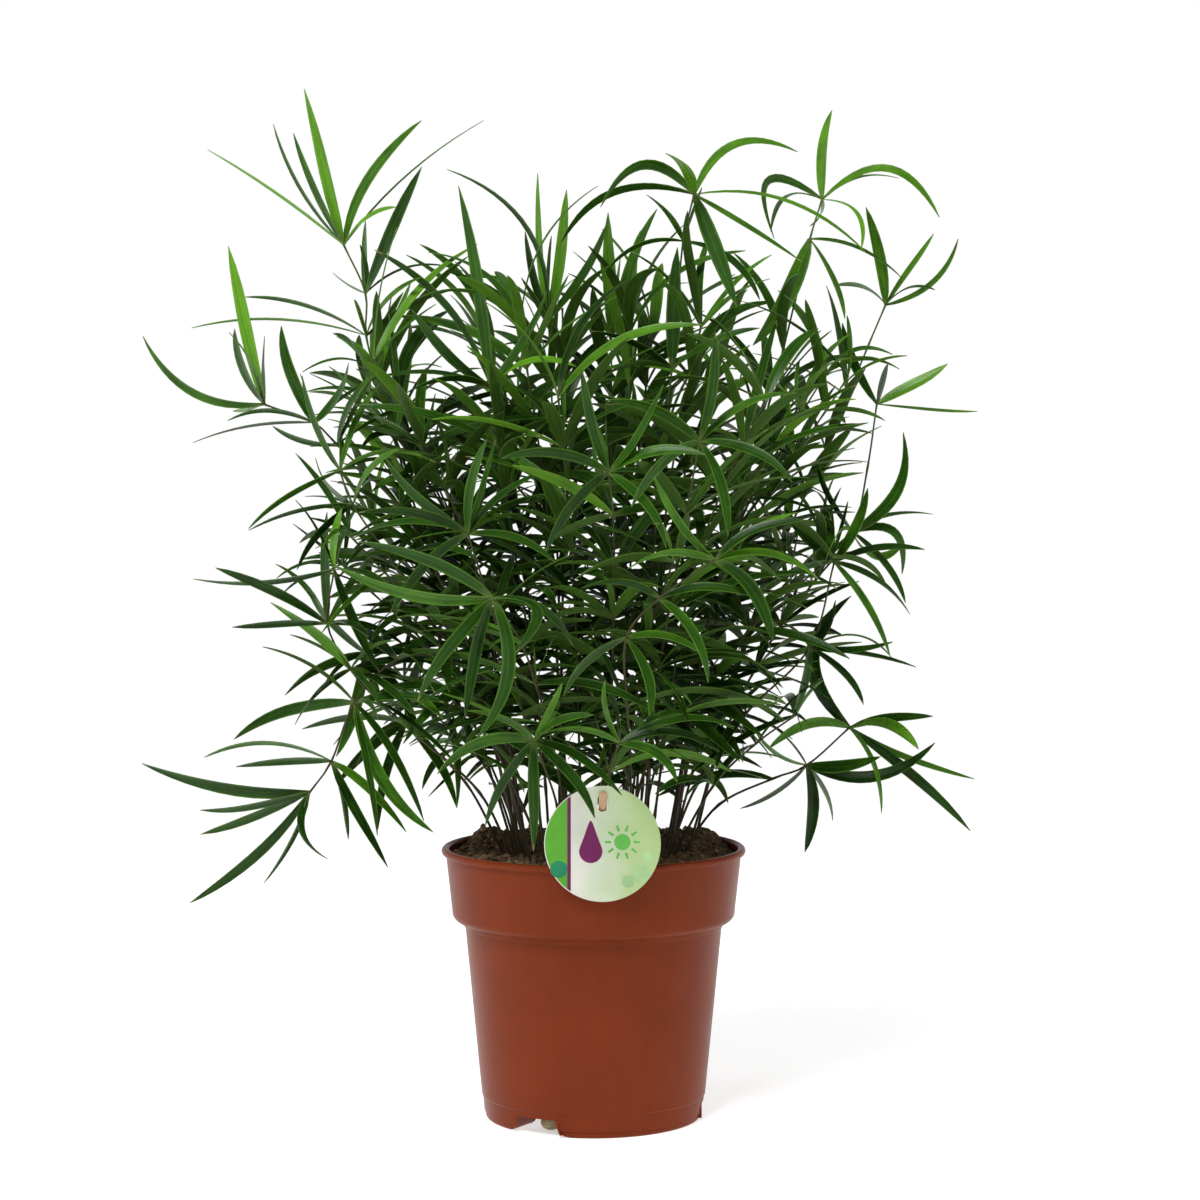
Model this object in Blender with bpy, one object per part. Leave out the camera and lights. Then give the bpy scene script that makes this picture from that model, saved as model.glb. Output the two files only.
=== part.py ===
"""A potted asparagus fern: a nursery pot, its soil, a round care label on a wooden stake, a root that has
grown out of a drain hole, and the shoots, each one stem with its whorls of strap-shaped leaves.

Metres, +Z up. The viewer looks along +Y, so -Y is the front. The ground is z = 0, and the origin is the
middle of the box round the whole plant. The crown leans forwards and to the left of the pot, so the pot's
axis stands behind the origin and to its right, at POT_AXIS. Every piece is modelled about the pot's axis.
"""

import math
import random
from functools import partial
from itertools import permutations

import bmesh
import bpy
from mathutils import Quaternion, Vector, noise
from mathutils.bvhtree import BVHTree

MM = 0.001
CLEARANCE = 0.0003  # the gap between two pieces that rest on each other
POT_AXIS = (0.0096, 0.0189, 0.0)

# The pot, a thin-walled nursery pot with a deep band under a rolled rim
ROUND_SIDES = 40
POT_HEIGHT = 0.152
RIM_RADIUS = 0.085
BEAD_RADIUS = 0.0022
BAND_TOP = (0.0824, 0.147)  # radius, height
BAND_FOOT = (0.0791, 0.1156)
BAND_CORNER = 0.005
BODY_TOP = (0.0718, 0.108)
BODY_FOOT = (0.0627, 0.0132)
FOOT_TOP = (0.0621, 0.0124)
FOOT_RADIUS = 0.0612
FOOT_CORNER = 0.0018
FOOT_INNER_RADIUS = 0.0415  # the pot stands on the flat ring from here outwards
RAISED_FLOOR = 0.0095  # the underside of the floor's middle, above the ground
RAISED_SLOPE = 0.0012
WALL = 0.0013

# Three water channels run from the foot's outside to the raised middle of the floor
CHANNEL_ANGLES = (-121, -1, 119)  # degrees, the first one left of the front
CHANNEL_HALF_OUTLINE = (
    (0.0119, 0.0095), (0.0144, 0.0022), (0.0156, 0.0009), (0.0202, 0.0), (0.0202, -0.001)
)  # across from its middle, and height
CHANNEL_ROOF_DROP = 0.0002
CHANNEL_WALL_FOOT = 0.0007
CHANNEL_HOLE = (0.0496, 0.0060)  # its distance from the pot's axis, and its radius
CHANNEL_HOLE_TURN = 4  # degrees round from the channel's middle
FLOOR_HOLE = (0.026, 0.0045)
FLOOR_HOLE_ANGLES = (-61, 59, 179)

# The soil: a height field inside the pot, with two lumps that stand above the rim
SOIL_LEVEL = 0.1445
SOIL_EDGE_DROP = 0.001
SOIL_RINGS = (0.068, 0.054, 0.040, 0.026, 0.012)
SOIL_ROUGHNESS = 0.0026
SOIL_LUMPS = ((-0.060, 0.040, 0.013), (0.062, 0.040, 0.014))  # x, y, height
SOIL_LUMP_RADIUS = 0.016

# The label hangs on the stake, just in front of the rim
LABEL_RADIUS = 0.031
LABEL_THICKNESS = 0.0006
LABEL_CENTRE = (0.0049, 0.1644)  # x, z
SLOT_SIZE = (0.0042, 0.0090)
SLOT_HEIGHT = 0.1861
STAKE_RADIUS = 0.0017
STAKE_FOOT = Vector((0.004, -0.060, 0.1445))  # where it enters the soil
STAKE_SLOT = Vector((0.0049, -0.0856, 0.1866))
STAKE_BURIED = 0.030
STAKE_PROUD = 0.009

# The root that has swollen through the front left channel's hole: x, y, z and radius in mm
DRAIN_ROOT = (
    (-22.5, -44.2, 10.6, 4.9),
    (-22.5, -44.2, 8.7, 5.3),
    (-22.4, -44.6, 6.8, 6.5),
    (-22.1, -45.4, 4.8, 6.2),
    (-21.8, -46.0, 3.3, 4.4),
    (-21.6, -46.4, 2.4, 2.0),
)

# Shoots
STEM_RADII = (0.0010, 0.0006)  # at the soil and at the tip
NODE_SWELL = 1.35  # a stem is thicker where a whorl grows
NODE_HALF = 0.0009
BARE_RING_SPACING = 0.055
PATH_STEPS = 12  # straight steps between two given points of a stem
SLOPE_REACH = 0.002  # how far either way a stem's direction is read
WHORL_SPACING = (0.027, 0.034)
TOP_WHORL_GAP = 0.022
LEAF_LENGTH = (0.054, 0.092)
LEAF_WIDTH = (0.0045, 0.0068)
LEAF_COUNTS = (4, 5, 5, 6)
LEAF_LIFT = (-22, 52, 24)  # degrees above level: low in the crown, high in it, and either way at random
LEAF_LIFT_HEIGHTS = (0.190, 0.480)
LEAF_TWIST = 0.8  # radians about its length, either way
LEAF_BOW = (0.05, 0.15)  # share of its length
KEEL_DEPTHS = (0.0009, 0.0012)
LONG_STATIONS = ((0.26, 0.90), (0.63, 0.94))  # share of the length, share of the width
SHORT_STATIONS = ((0.42, 1.0),)
SOCKET_REACH = 0.0021
# Shoots whose leaves end short of their full length, as a share of it. With full leaves their collision
# pieces hold a flat one, which has no volume
TIPS_CUT_SHORT = {"shoot_17": 0.985, "shoot_30": 0.985, "shoot_38": 0.985}
LEAST_PARTING = math.radians(22)  # between two leaves of a whorl
SOCKET_OFFSET_WEIGHT = 200  # per metre that a socket lies out towards its leaf, against how it faces
GROW_GAP = 0.0005  # what a new leaf or stem keeps clear of the others
LEAF_TRIES = 9
LEAF_SHIFTS = (0, 4, -4, 8, -8, 13, -13, 19, -19)  # mm nearer to the viewer, tried in turn
STEM_TRIES = 30
SWAY_STEP = 0.0009
FOOT_RING = 2.4  # the ground looked at under a stem, in stem radii
GOLDEN_ANGLE = math.radians(137.508)
SEED = 11

# How far the crown reaches from its middle at each height, in mm
CROWN_MIDDLE = 0
CROWN_REACH = (
    (172, 90), (205, 120), (250, 146), (310, 164), (400, 166), (455, 146), (492, 104), (522, 40)
)

# The shoots that shape the outline. Each gives its foot on the soil (x, y), the points its stem passes
# (x, y, z) and its whorls (x, y, z with their leaves), all in mm. A leaf gives how far across and up the
# viewer sees its tip, how far the tip lies towards the viewer, how far its middle bows to the left of
# its growth, its width, and how much of its face the viewer sees.
VIEWER = Vector((0.0036, -1.670, 0.378))
OUTLINE_SHOOTS = (
    ((-41, -5), ((-62, -8, 235), (-98, -14, 340)), (
        ((-125, -15, 436), ((-67, 21, -15, -6, 4, 0.4), (-96, 4, 0, -7, 3, 0.3), (30, 32, 40, 5, 5, 0.6))),
        ((-125, -18, 459), ((31, 69, 20, 1, 6.5, 0.9), (0, 40, -35, 0.5, 6.5, 0.6),
                            (-18, 11, -50, 1, 3.5, 0.4),
                            (54, 12, -15, 9, 3.5, 0.3))),
        ((-137, -20, 486), ((-21, 84, 10, 0, 6.5, 0.9), (-38, 65, -25, 5, 4, 0.4), (-27, 60, 30, 2, 5, 0.7),
                            (-74, 51, -10, -2, 4, 0.35), (43, 67, 10, 7, 6.5, 0.8),
                            (77, 67, -15, 5, 3.5, 0.3),
                            (29, 20, 40, 4, 5, 0.6))),
    )),
    ((-36, -20), ((-62, -30, 250), (-104, -36, 340)), (
        ((-139, -40, 376), ((-35, 10, 20, 3, 5, 0.6), (20, 38, 30, 4, 5, 0.7))),
        ((-151, -50, 388), ((-17, 52, 15, 3, 6.5, 0.9), (19, 32, 25, -4, 6, 0.7),
                            (-65, -11, -20, -4, 3.5, 0.4),
                            (-46, 1, 30, -6, 4, 0.5))),
        ((-177, -60, 398), ((-18, 84, 5, 0, 7, 0.9), (-64, 36, 10, 13, 5, 0.8), (-15, 40, 30, 3, 7, 0.7),
                            (-18, 38, 38, -4, 4.5, 0.5), (1, 36, -25, 0, 5, 0.5),
                            (-16, -4, 45, 1, 4.5, 0.6))),
    )),
    ((-25, -30), ((-48, -42, 200), (-90, -54, 285)), (
        ((-129, -60, 344), ((-56, -14, 10, -4, 4, 0.5), (25, 30, 40, 5, 5, 0.7), (-20, 25, -50, 4, 5, 0.5),
                            (-30, -35, 30, -4, 5, 0.6))),
        ((-136, -60, 363), ((-49, -32, 18, -3, 4.5, 0.5), (-20, 50, 20, 3, 5, 0.7),
                            (22, 46, -20, 3, 5, 0.6))),
    )),
    ((-44, -14), ((-66, -30, 190), (-104, -46, 225)), (
        ((-131, -55, 255), ((-43, 36, 10, -3, 7, 0.8), (35, -25, 35, 4, 5, 0.7), (-30, -30, 40, -4, 5, 0.6),
                            (42, 4, 0, 3, 5, 0.6), (40, -14, -30, 5, 5.5, 0.6))),
        ((-143, -60, 280), ((-60, 30, 5, -3, 6, 0.8), (-51, -2, 15, -1, 5, 0.7),
                            (-52, -30, 10, -1, 5.5, 0.7),
                            (22, -7, 50, 4, 5, 0.7), (42, -12, -30, 5, 5, 0.6), (0, 60, -15, 1, 6, 0.8))),
        ((-139, -60, 310), ((-76, -6, -5, 5, 4.5, 0.6), (4, 32, 30, 2, 6, 0.8), (15, 36, -30, 3, 5, 0.6),
                            (30, -15, 45, 5, 5, 0.7), (24, -56, 10, -2, 6, 0.7))),
    )),
    ((-34, -28), ((-56, -38, 222), (-90, -52, 266)), (
        ((-128, -65, 238), ((-65, -20, 0, -6.5, 6.5, 0.9), (42, -70, 10, -9, 7, 0.8),
                            (37, -64, -20, 4, 5.5, 0.6),
                            (12, -72, 15, 1, 5, 0.6), (48, 0, 10, 4, 6, 0.7))),
        ((-140, -72, 207), ((-51, -3, 30, -1.5, 6, 0.7), (-68, 2, -15, -9, 4.5, 0.5),
                            (30, -57, 20, -1, 5.5, 0.8),
                            (9, -42, -35, 2, 5, 0.5), (40, -38, -15, 3, 5.5, 0.7))),
        ((-152, -75, 190), ((-89, 16, 0, 5, 7, 0.9), (-58, -9, 25, 2, 5.5, 0.7), (-58, -22, -15, 1, 6, 0.7),
                            (-64, -59, 5, 5, 6, 0.8), (-24, -48, 30, 3, 5, 0.5), (10, -35, 35, -9, 5, 0.6))),
    )),
    ((50, 14), ((76, 24, 176),), (
        ((122, 38, 193), ((73, 13, 10, -13, 7, 0.8), (-1, -50, 15, 4, 7, 0.9), (15, -32, -40, 3, 5, 0.5),
                          (-30, 20, 30, 4, 5, 0.6), (-38, -25, 20, 3, 5, 0.6), (42, 5, 35, -3, 7, 0.9))),
        ((147, 40, 215), ((47, 6, 25, 2, 5.5, 0.8), (39, -13, 35, 8, 7, 0.8), (69, -60, 0, 2, 6.5, 0.8),
                          (71, -30, -20, -4, 5, 0.6), (18, -50, 25, 5, 5, 0.6), (0, 75, 5, 22, 8, 0.9),
                          (-47, -13, 20, -8, 6.5, 0.8))),
    )),
    ((52, 3), ((76, 10, 220), (112, 14, 285)), (
        ((146, 20, 327), ((28, 56, 15, -12, 7, 0.8), (30, -40, 30, 4, 5.5, 0.7), (45, 10, -20, 5, 4, 0.5),
                          (-20, 40, 35, 3, 5, 0.6), (28, -24, 0, 15, 5.5, 0.7),
                          (29, -6, -30, -11, 5.5, 0.7))),
        ((161, 38, 400), ((40, 22, 0, -1, 6.5, 0.8), (6, 22, 40, 0, 6, 0.7), (57, -5, -30, -1.5, 3.5, 0.4),
                          (-20, 45, 10, 3, 6, 0.7))),
    )),
    ((45, 12), ((66, 20, 280), (102, 28, 410)), (
        ((122, 30, 492), ((-32, -60, 15, 4, 9, 1.0), (52, -22, -10, 6, 4, 0.5), (20, -45, 35, 3, 5, 0.6))),
        ((129, 30, 515), ((5, 49, 0, 3, 6, 0.8), (66, -11, 10, 22, 5, 0.7), (43, 11, -25, 6, 3.5, 0.4),
                          (22, -29, 30, 10, 4.5, 0.6), (-27, -23, 15, -27, 4.5, 0.6),
                          (-29, -19, -30, -12, 4, 0.4), (-7, -16, -50, 3, 4, 0.5))),
    )),
    ((22, -6), ((30, -12, 280),), (
        ((43, -20, 418), ((3, 66, 12, 0.5, 7.5, 1.0), (48, 22, 10, 4, 5, 0.6), (-44, 20, 15, -4, 5, 0.6))),
        ((49, -25, 487), ((42, -32, 20, 8, 5, 0.7), (-45, -20, -10, -8, 4, 0.5), (-20, 25, 35, -3, 5, 0.6))),
        ((55, -30, 513), ((56, 22, 5, 16, 6, 0.7), (-16, 21, 40, -4, 7, 0.8), (-51, -8, 10, -19, 6, 0.7),
                          (-73, -28, -20, -16, 5.5, 0.6), (93, -32, -10, 12, 4, 0.4),
                          (58, -37, 20, 0, 5, 0.6),
                          (23, -62, 15, 0, 8, 1.0))),
    )),
    ((58, 26), ((88, 38, 270), (132, 50, 372)), (
        ((168, 60, 457), ((-12, 55, 5, -2, 7, 0.8), (27, 40, -20, 0, 4.5, 0.6), (41, 37, 10, -9, 5, 0.5),
                          (28, 8, 36, 5, 4, 0.4), (-30, 10, -35, -5, 5, 0.5))),
    )),
    ((-12, -42), ((-20, -72, 210), (-38, -120, 276)), (
        ((-51, -150, 299), ((-68, 28, 10, -5, 6.5, 0.9), (-80, 16, -10, 7, 7, 0.8),
                            (-38, -53, 15, -3, 6.5, 0.9),
                            (-14, -61, 20, -2, 6, 0.9), (-8, -72, 10, 12, 7, 0.9), (12, -28, 30, 18, 6, 0.7),
                            (41, -25, -15, 8, 5, 0.6))),
    )),
    ((20, -34), ((20, -70, 205),), (
        ((17, -132, 277), ((12, -40, 30, 5, 6, 0.8), (-32, -30, 20, -5, 5.5, 0.7),
                           (42, -10, -10, 6, 5, 0.6))),
        ((34, -142, 298), ((25, -43, 20, 6, 6, 0.8), (52, 0, 0, 6, 5, 0.7), (-40, 5, 20, -6, 5, 0.7))),
        ((63, -142, 318), ((29, -42, 15, 6, 7, 0.9), (45, 20, 0, 6, 5, 0.7), (-32, 42, 10, 4, 5, 0.7),
                           (52, -10, -20, 8, 5, 0.6), (-45, -5, 20, -6, 5, 0.7))),
    )),
    ((-16, -48), ((-20, -72, 186),), (
        ((-31, -116, 223), ((-50, -18, 5, -8, 6.5, 0.9), (0, -58, 12, 0, 6, 0.9), (32, -41, 15, 4, 6, 0.8),
                            (46, -29, 0, 5, 5.5, 0.7), (31, 13, 25, 4, 5, 0.7), (-35, 15, 15, -4, 5, 0.7),
                            (-25, -45, 20, -3, 5.5, 0.8))),
    )),
    ((2, -44), ((4, -70, 184),), (
        ((14, -108, 221), ((30, -21, 18, 6, 6, 0.8), (52, -5, 0, 8, 5, 0.7), (-8, 32, 25, 3, 5, 0.6),
                           (60, 8, -12, 8, 5, 0.7), (-42, 4, 12, -5, 5, 0.6))),
    )),
    ((-24, -16), ((-30, -24, 230), (-46, -46, 340)), (
        ((-55, -60, 408), ((-17, 106, 12, -2, 7, 0.9), (30, 50, 20, -3, 6, 0.7), (-42, 40, 10, 4, 6, 0.8),
                           (46, 10, 30, 8, 5, 0.6), (-46, -5, 20, -6, 5, 0.6), (-62, 72, -20, -10, 5.5, 0.6))),
    )),
    ((-14, 4), ((-18, 2, 250), (-22, 1, 370)), (
        ((-25, 0, 447), ((-6, 79, -10, 2, 5, 0.7), (10, 70, 10, -2, 7, 0.8), (-13, 47, 20, 2, 6, 0.7),
                         (10, 39, -24, 0, 5, 0.5), (32, 51, 15, -4, 6, 0.7), (-50, 22, -10, -8, 4, 0.4),
                         (-56, 81, 10, -18, 4.5, 0.5))),
    )),
    ((10, 14), ((10, 18, 250), (10, 20, 360)), (
        ((10, 20, 437), ((-2, 70, 0, 0, 8, 0.9), (26, 72, 10, 3, 7, 0.8), (45, 30, -20, 8, 4, 0.4),
                         (-45, 25, 20, -8, 4.5, 0.5), (5, 45, -35, 0, 5, 0.5))),
    )),
    ((-26, -40), ((-36, -62, 225), (-56, -104, 300)), (
        ((-65, -118, 331), ((-56, 10, 20, -5, 6, 0.8), (-40, -42, 18, -4, 6, 0.8),
                            (45, -15, 25, 5, 5.5, 0.7),
                            (10, 48, 18, 3, 6, 0.8), (40, 32, -10, 4, 5, 0.6), (-42, 38, 5, 4, 6, 0.8))),
    )),
    ((26, -26), ((34, -60, 245), (48, -100, 335)), (
        ((55, -118, 379), ((-48, 20, 15, -5, 6, 0.8), (-35, -35, 20, -5, 6, 0.8), (48, -22, 18, 6, 5.5, 0.8),
                           (8, 55, 15, -3, 6, 0.8), (50, 24, -5, 6, 5, 0.7), (15, -50, 25, 4, 6, 0.8))),
    )),
    ((8, -24), ((10, -60, 245), (11, -104, 325)), (
        ((8, -126, 363), ((-55, 6, 12, -6, 6, 0.8), (50, 8, 12, 6, 6, 0.8), (-32, -42, 15, -4, 6, 0.8),
                          (30, -40, 18, 5, 6, 0.8), (-14, 52, 12, 2, 6, 0.8), (28, 44, 10, -3, 5, 0.7))),
    )),
    ((40, -10), ((62, -10, 196), (92, -12, 236)), (
        ((120, -10, 264), ((46, 3, 10, -3, 5, 0.6), (59, -11, -5, 2, 4, 0.5), (14, 26, 20, -3, 6, 0.7),
                           (30, -32, 30, 4, 5.5, 0.7), (-10, -40, 25, 2, 6, 0.8))),
        ((134, -5, 312), ((31, -53, 15, 3, 5.5, 0.7), (50, 6, -15, 4, 5, 0.6), (-28, 30, 20, 3, 6, 0.8),
                          (18, 40, 10, -3, 6, 0.8), (-45, -20, 25, -4, 5, 0.6), (42, -30, -25, 5, 5, 0.6))),
    )),
    ((-50, 6), ((-72, 0, 188),), (
        ((-104, -8, 222), ((28, -48, 20, 4, 6, 0.8), (-38, -34, 10, -3, 6, 0.8), (-16, -60, 25, -4, 6, 0.8),
                           (-58, -4, -15, -5, 5.5, 0.7), (12, 42, 15, 3, 6, 0.7))),
        ((-126, -20, 262), ((-44, -24, 25, -4, 6, 0.8), (44, 16, 10, 4, 5.5, 0.7),
                            (-16, -58, 10, 3, 6.5, 0.9),
                            (30, -48, 20, 4, 6, 0.8), (-32, 36, -10, 3, 5.5, 0.7), (48, -12, -10, 5, 5.5, 0.7))),
    )),
)

# The other shoots fill the crown in rings: how many, how far out their tips lie as a share of the
# crown's reach, the height of their tips in mm, and where their whorls start in mm
FILL_RINGS = (
    (2, 0.15, 458, 235),
    (4, 0.48, 450, 225),
    (11, 0.92, 418, 200),
    (7, 0.97, 322, 188),
    (5, 0.92, 240, 176),
)
SIDE_BIAS = 0.38  # the crown is fuller at its sides than at its front and back
CROWN_DEPTH = 0.88  # its reach to the front and back, as a share of its reach to the sides
FILL_ROOT_REACH = (44, 36)  # mm across and deep, at the soil


def material(name, colour, roughness):
    made = bpy.data.materials.new(name)
    made.use_nodes = True
    shader = made.node_tree.nodes["Principled BSDF"]
    shader.inputs["Base Color"].default_value = (*colour, 1)
    shader.inputs["Roughness"].default_value = roughness
    shader.inputs["Metallic"].default_value = 0
    made.diffuse_color = (*colour, 1)
    return made


def add_object(name, bm, finish, smooth_angle=math.radians(40)):
    """Writes the bmesh to a named object that stands on the pot's axis."""
    mesh = bpy.data.meshes.new(name)
    bm.to_mesh(mesh)
    bm.free()
    mesh.materials.append(finish)
    mesh.shade_smooth()
    mesh.set_sharp_from_angle(angle=smooth_angle)
    obj = bpy.data.objects.new(name, mesh)
    obj.location = POT_AXIS
    bpy.context.scene.collection.objects.link(obj)
    return obj


def combine(obj, tool, operation):
    """Adds the tool's solids to the object or cuts them out of it, and keeps the tool out of renders."""
    tool.hide_render = True
    tool.display_type = "WIRE"
    boolean = obj.modifiers.new(tool.name, "BOOLEAN")
    boolean.operation = operation
    boolean.object = tool


def arc(centre, radius, start, end, steps):
    """Points on an arc of a profile, as (radius, height), from one angle in degrees to another."""
    points = []
    for step in range(steps + 1):
        angle = math.radians(start + (end - start) * step / steps)
        points.append((centre[0] + radius * math.cos(angle), centre[1] + radius * math.sin(angle)))
    return points


def turned(profile):
    """A bmesh turned about Z from a closed profile of (radius, height) points."""
    bm = bmesh.new()
    verts = [bm.verts.new((radius, 0, height)) for radius, height in profile]
    edges = [bm.edges.new((vert, verts[i - 1])) for i, vert in enumerate(verts)]
    bmesh.ops.spin(
        bm, geom=verts + edges, axis=(0, 0, 1), cent=(0, 0, 0), angle=math.tau, steps=ROUND_SIDES,
        use_merge=True,
    )
    bmesh.ops.remove_doubles(bm, verts=bm.verts, dist=1e-6)
    bmesh.ops.dissolve_degenerate(bm, edges=bm.edges, dist=1e-6)
    bmesh.ops.recalc_face_normals(bm, faces=bm.faces)
    return bm


def pot_inner_wall():
    """The inner profile of the pot, from the middle of its floor to the bead, as (radius, height)."""
    return [
        (0, RAISED_FLOOR + WALL),
        (FOOT_INNER_RADIUS - RAISED_SLOPE, RAISED_FLOOR + WALL),
        (FOOT_INNER_RADIUS + WALL, WALL),
        (FOOT_RADIUS - WALL, WALL),
        (BODY_FOOT[0] - WALL, BODY_FOOT[1]),
        (BODY_TOP[0] - WALL, BODY_TOP[1] + WALL),
        (BAND_FOOT[0] - WALL, BAND_FOOT[1] + WALL),
        (BAND_TOP[0] - WALL, BAND_TOP[1]),
    ]


def make_pot(finish):
    bead = (RIM_RADIUS - BEAD_RADIUS, POT_HEIGHT - BEAD_RADIUS)
    corner = (BAND_FOOT[0] - BAND_CORNER, BAND_FOOT[1])
    foot_corner = (FOOT_RADIUS - FOOT_CORNER, FOOT_CORNER)
    profile = (
        arc(bead, BEAD_RADIUS, 180, -40, 6)
        + [BAND_TOP]
        + arc(corner, BAND_CORNER, 0, -75, 3)
        + [BODY_TOP, BODY_FOOT, FOOT_TOP]
        + arc(foot_corner, FOOT_CORNER, 0, -90, 2)
        + [(FOOT_INNER_RADIUS, 0), (FOOT_INNER_RADIUS - WALL - RAISED_SLOPE, RAISED_FLOOR), (0, RAISED_FLOOR)]
        + pot_inner_wall()
    )
    pot = add_object("pot", turned(profile), finish)
    walls = bmesh.new()
    for angle in CHANNEL_ANGLES:
        add_channel(walls, channel_walls(0), FOOT_INNER_RADIUS - WALL / 2, FOOT_RADIUS - WALL / 2, angle)
    combine(pot, add_object("channel_walls", walls, finish), "UNION")
    channels = bmesh.new()
    for angle in CHANNEL_ANGLES:
        add_channel(channels, CHANNEL_HALF_OUTLINE, FOOT_INNER_RADIUS - 3 * WALL, 1.2 * FOOT_RADIUS, angle)
    combine(pot, add_object("channel_spaces", channels, finish), "DIFFERENCE")
    holes = bmesh.new()
    add_drain_hole(holes, (0, FLOOR_HOLE[1]), 0)
    for angle in FLOOR_HOLE_ANGLES:
        add_drain_hole(holes, FLOOR_HOLE, angle)
    for angle in CHANNEL_ANGLES:
        add_drain_hole(holes, CHANNEL_HOLE, angle + CHANNEL_HOLE_TURN)
    combine(pot, add_object("drain_holes", holes, finish), "DIFFERENCE")
    return pot


def channel_walls(more):
    """Half the outline of a channel's walls and roof, thicker by what is asked for."""
    top, foot = CHANNEL_HALF_OUTLINE[:2]
    outside = WALL + more
    return (
        (top[0] + outside, top[1] + WALL - CHANNEL_ROOF_DROP + more),
        (foot[0] + outside, CHANNEL_WALL_FOOT - more),
    )


def add_channel(bm, half_outline, near, far, angle):
    """Extrudes a channel's outline along a radius of the pot, between two distances from its axis."""
    outline = list(half_outline) + [(-half, height) for half, height in reversed(half_outline)]
    verts = [bm.verts.new((near, half, height)) for half, height in outline]
    face = bm.faces.new(verts)
    grown = bmesh.ops.extrude_face_region(bm, geom=[face], use_keep_orig=True)["geom"]
    moved = [item for item in grown if isinstance(item, bmesh.types.BMVert)]
    bmesh.ops.translate(bm, verts=moved, vec=(far - near, 0, 0))
    turn = Quaternion((0, 0, 1), math.radians(angle)).to_matrix()
    bmesh.ops.rotate(bm, verts=verts + moved, cent=(0, 0, 0), matrix=turn)
    sides = {side for vert in verts + moved for side in vert.link_faces}
    bmesh.ops.recalc_face_normals(bm, faces=list(sides))


def add_drain_hole(bm, hole, angle):
    ring_radius, radius = hole
    turn = math.radians(angle)
    centre = Vector((ring_radius * math.cos(turn), ring_radius * math.sin(turn), RAISED_FLOOR + WALL / 2))
    drill = bmesh.ops.create_cone(
        bm, cap_ends=True, segments=14, radius1=radius, radius2=radius, depth=4 * WALL
    )
    bmesh.ops.translate(bm, verts=drill["verts"], vec=centre)


def soil_height(x, y):
    """The height of the soil above its mean level: crumbs of two sizes and the lumps at the back."""
    coarse = noise.noise(Vector((x, y, 0)) / 0.021)
    fine = noise.noise(Vector((x, y, 0.5)) / 0.009)
    height = SOIL_ROUGHNESS * (coarse + 0.5 * fine)
    for lump_x, lump_y, lump in SOIL_LUMPS:
        apart = math.hypot(x - lump_x, y - lump_y) / SOIL_LUMP_RADIUS
        height += lump * math.exp(-apart * apart)
    return height


def make_soil(finish):
    """The soil fills the pot up to its level, round the channels and the stake."""
    wall = [(radius - CLEARANCE, height) for radius, height in pot_inner_wall()]
    wall[:4] = [
        (0, RAISED_FLOOR + WALL + CLEARANCE),
        (FOOT_INNER_RADIUS - RAISED_SLOPE + CLEARANCE, RAISED_FLOOR + WALL + CLEARANCE),
        (FOOT_INNER_RADIUS + WALL + CLEARANCE, WALL + CLEARANCE),
        (FOOT_RADIUS - WALL - CLEARANCE, WALL + CLEARANCE),
    ]
    low, high = wall[-2:]
    share = (SOIL_LEVEL - SOIL_EDGE_DROP - low[1]) / (high[1] - low[1])
    edge = (low[0] + share * (high[0] - low[0]), SOIL_LEVEL - SOIL_EDGE_DROP)
    surface = [(radius, SOIL_LEVEL) for radius in SOIL_RINGS] + [(0, SOIL_LEVEL)]
    bm = turned(wall[:-1] + [edge] + surface)
    for vert in bm.verts:
        if vert.co.z > SOIL_LEVEL - SOIL_EDGE_DROP / 2:
            vert.co.z += soil_height(vert.co.x, vert.co.y)
    soil = add_object("soil", bm, finish)
    spaces = stake_mesh(STAKE_RADIUS + CLEARANCE, CLEARANCE)
    for angle in CHANNEL_ANGLES:
        add_channel(spaces, channel_walls(CLEARANCE), FOOT_INNER_RADIUS - 3 * WALL, FOOT_RADIUS, angle)
    combine(soil, add_object("soil_spaces", spaces, finish), "DIFFERENCE")
    return soil


def stake_mesh(radius, longer):
    along = (STAKE_SLOT - STAKE_FOOT).normalized()
    start = STAKE_FOOT - along * (STAKE_BURIED + longer)
    end = STAKE_SLOT + along * (STAKE_PROUD + longer)
    bm = bmesh.new()
    rod = bmesh.ops.create_cone(
        bm, cap_ends=True, segments=12, radius1=radius, radius2=radius, depth=(end - start).length
    )
    bmesh.ops.rotate(bm, verts=rod["verts"], cent=(0, 0, 0), matrix=along.to_track_quat("Z", "Y").to_matrix())
    bmesh.ops.translate(bm, verts=rod["verts"], vec=(start + end) / 2)
    return bm


def make_label(finish):
    """A thin round card just in front of the rim, with a slot for the stake near its top."""
    front = -(RIM_RADIUS + CLEARANCE + LABEL_THICKNESS)
    middle = front + LABEL_THICKNESS / 2
    bm = bmesh.new()
    disc = bmesh.ops.create_cone(
        bm, cap_ends=True, segments=48, radius1=LABEL_RADIUS, radius2=LABEL_RADIUS, depth=LABEL_THICKNESS
    )
    place_upright(bm, disc["verts"], (LABEL_CENTRE[0], middle, LABEL_CENTRE[1]))
    label = add_object("label", bm, finish)
    cutter = bmesh.new()
    slot = bmesh.ops.create_cone(
        cutter, cap_ends=True, segments=16, radius1=SLOT_SIZE[0] / 2, radius2=SLOT_SIZE[0] / 2, depth=0.01
    )
    for vert in slot["verts"]:
        vert.co.y += math.copysign((SLOT_SIZE[1] - SLOT_SIZE[0]) / 2, vert.co.y)
    place_upright(cutter, slot["verts"], (LABEL_CENTRE[0], middle, SLOT_HEIGHT))
    combine(label, add_object("label_slot", cutter, finish), "DIFFERENCE")
    return label


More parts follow.
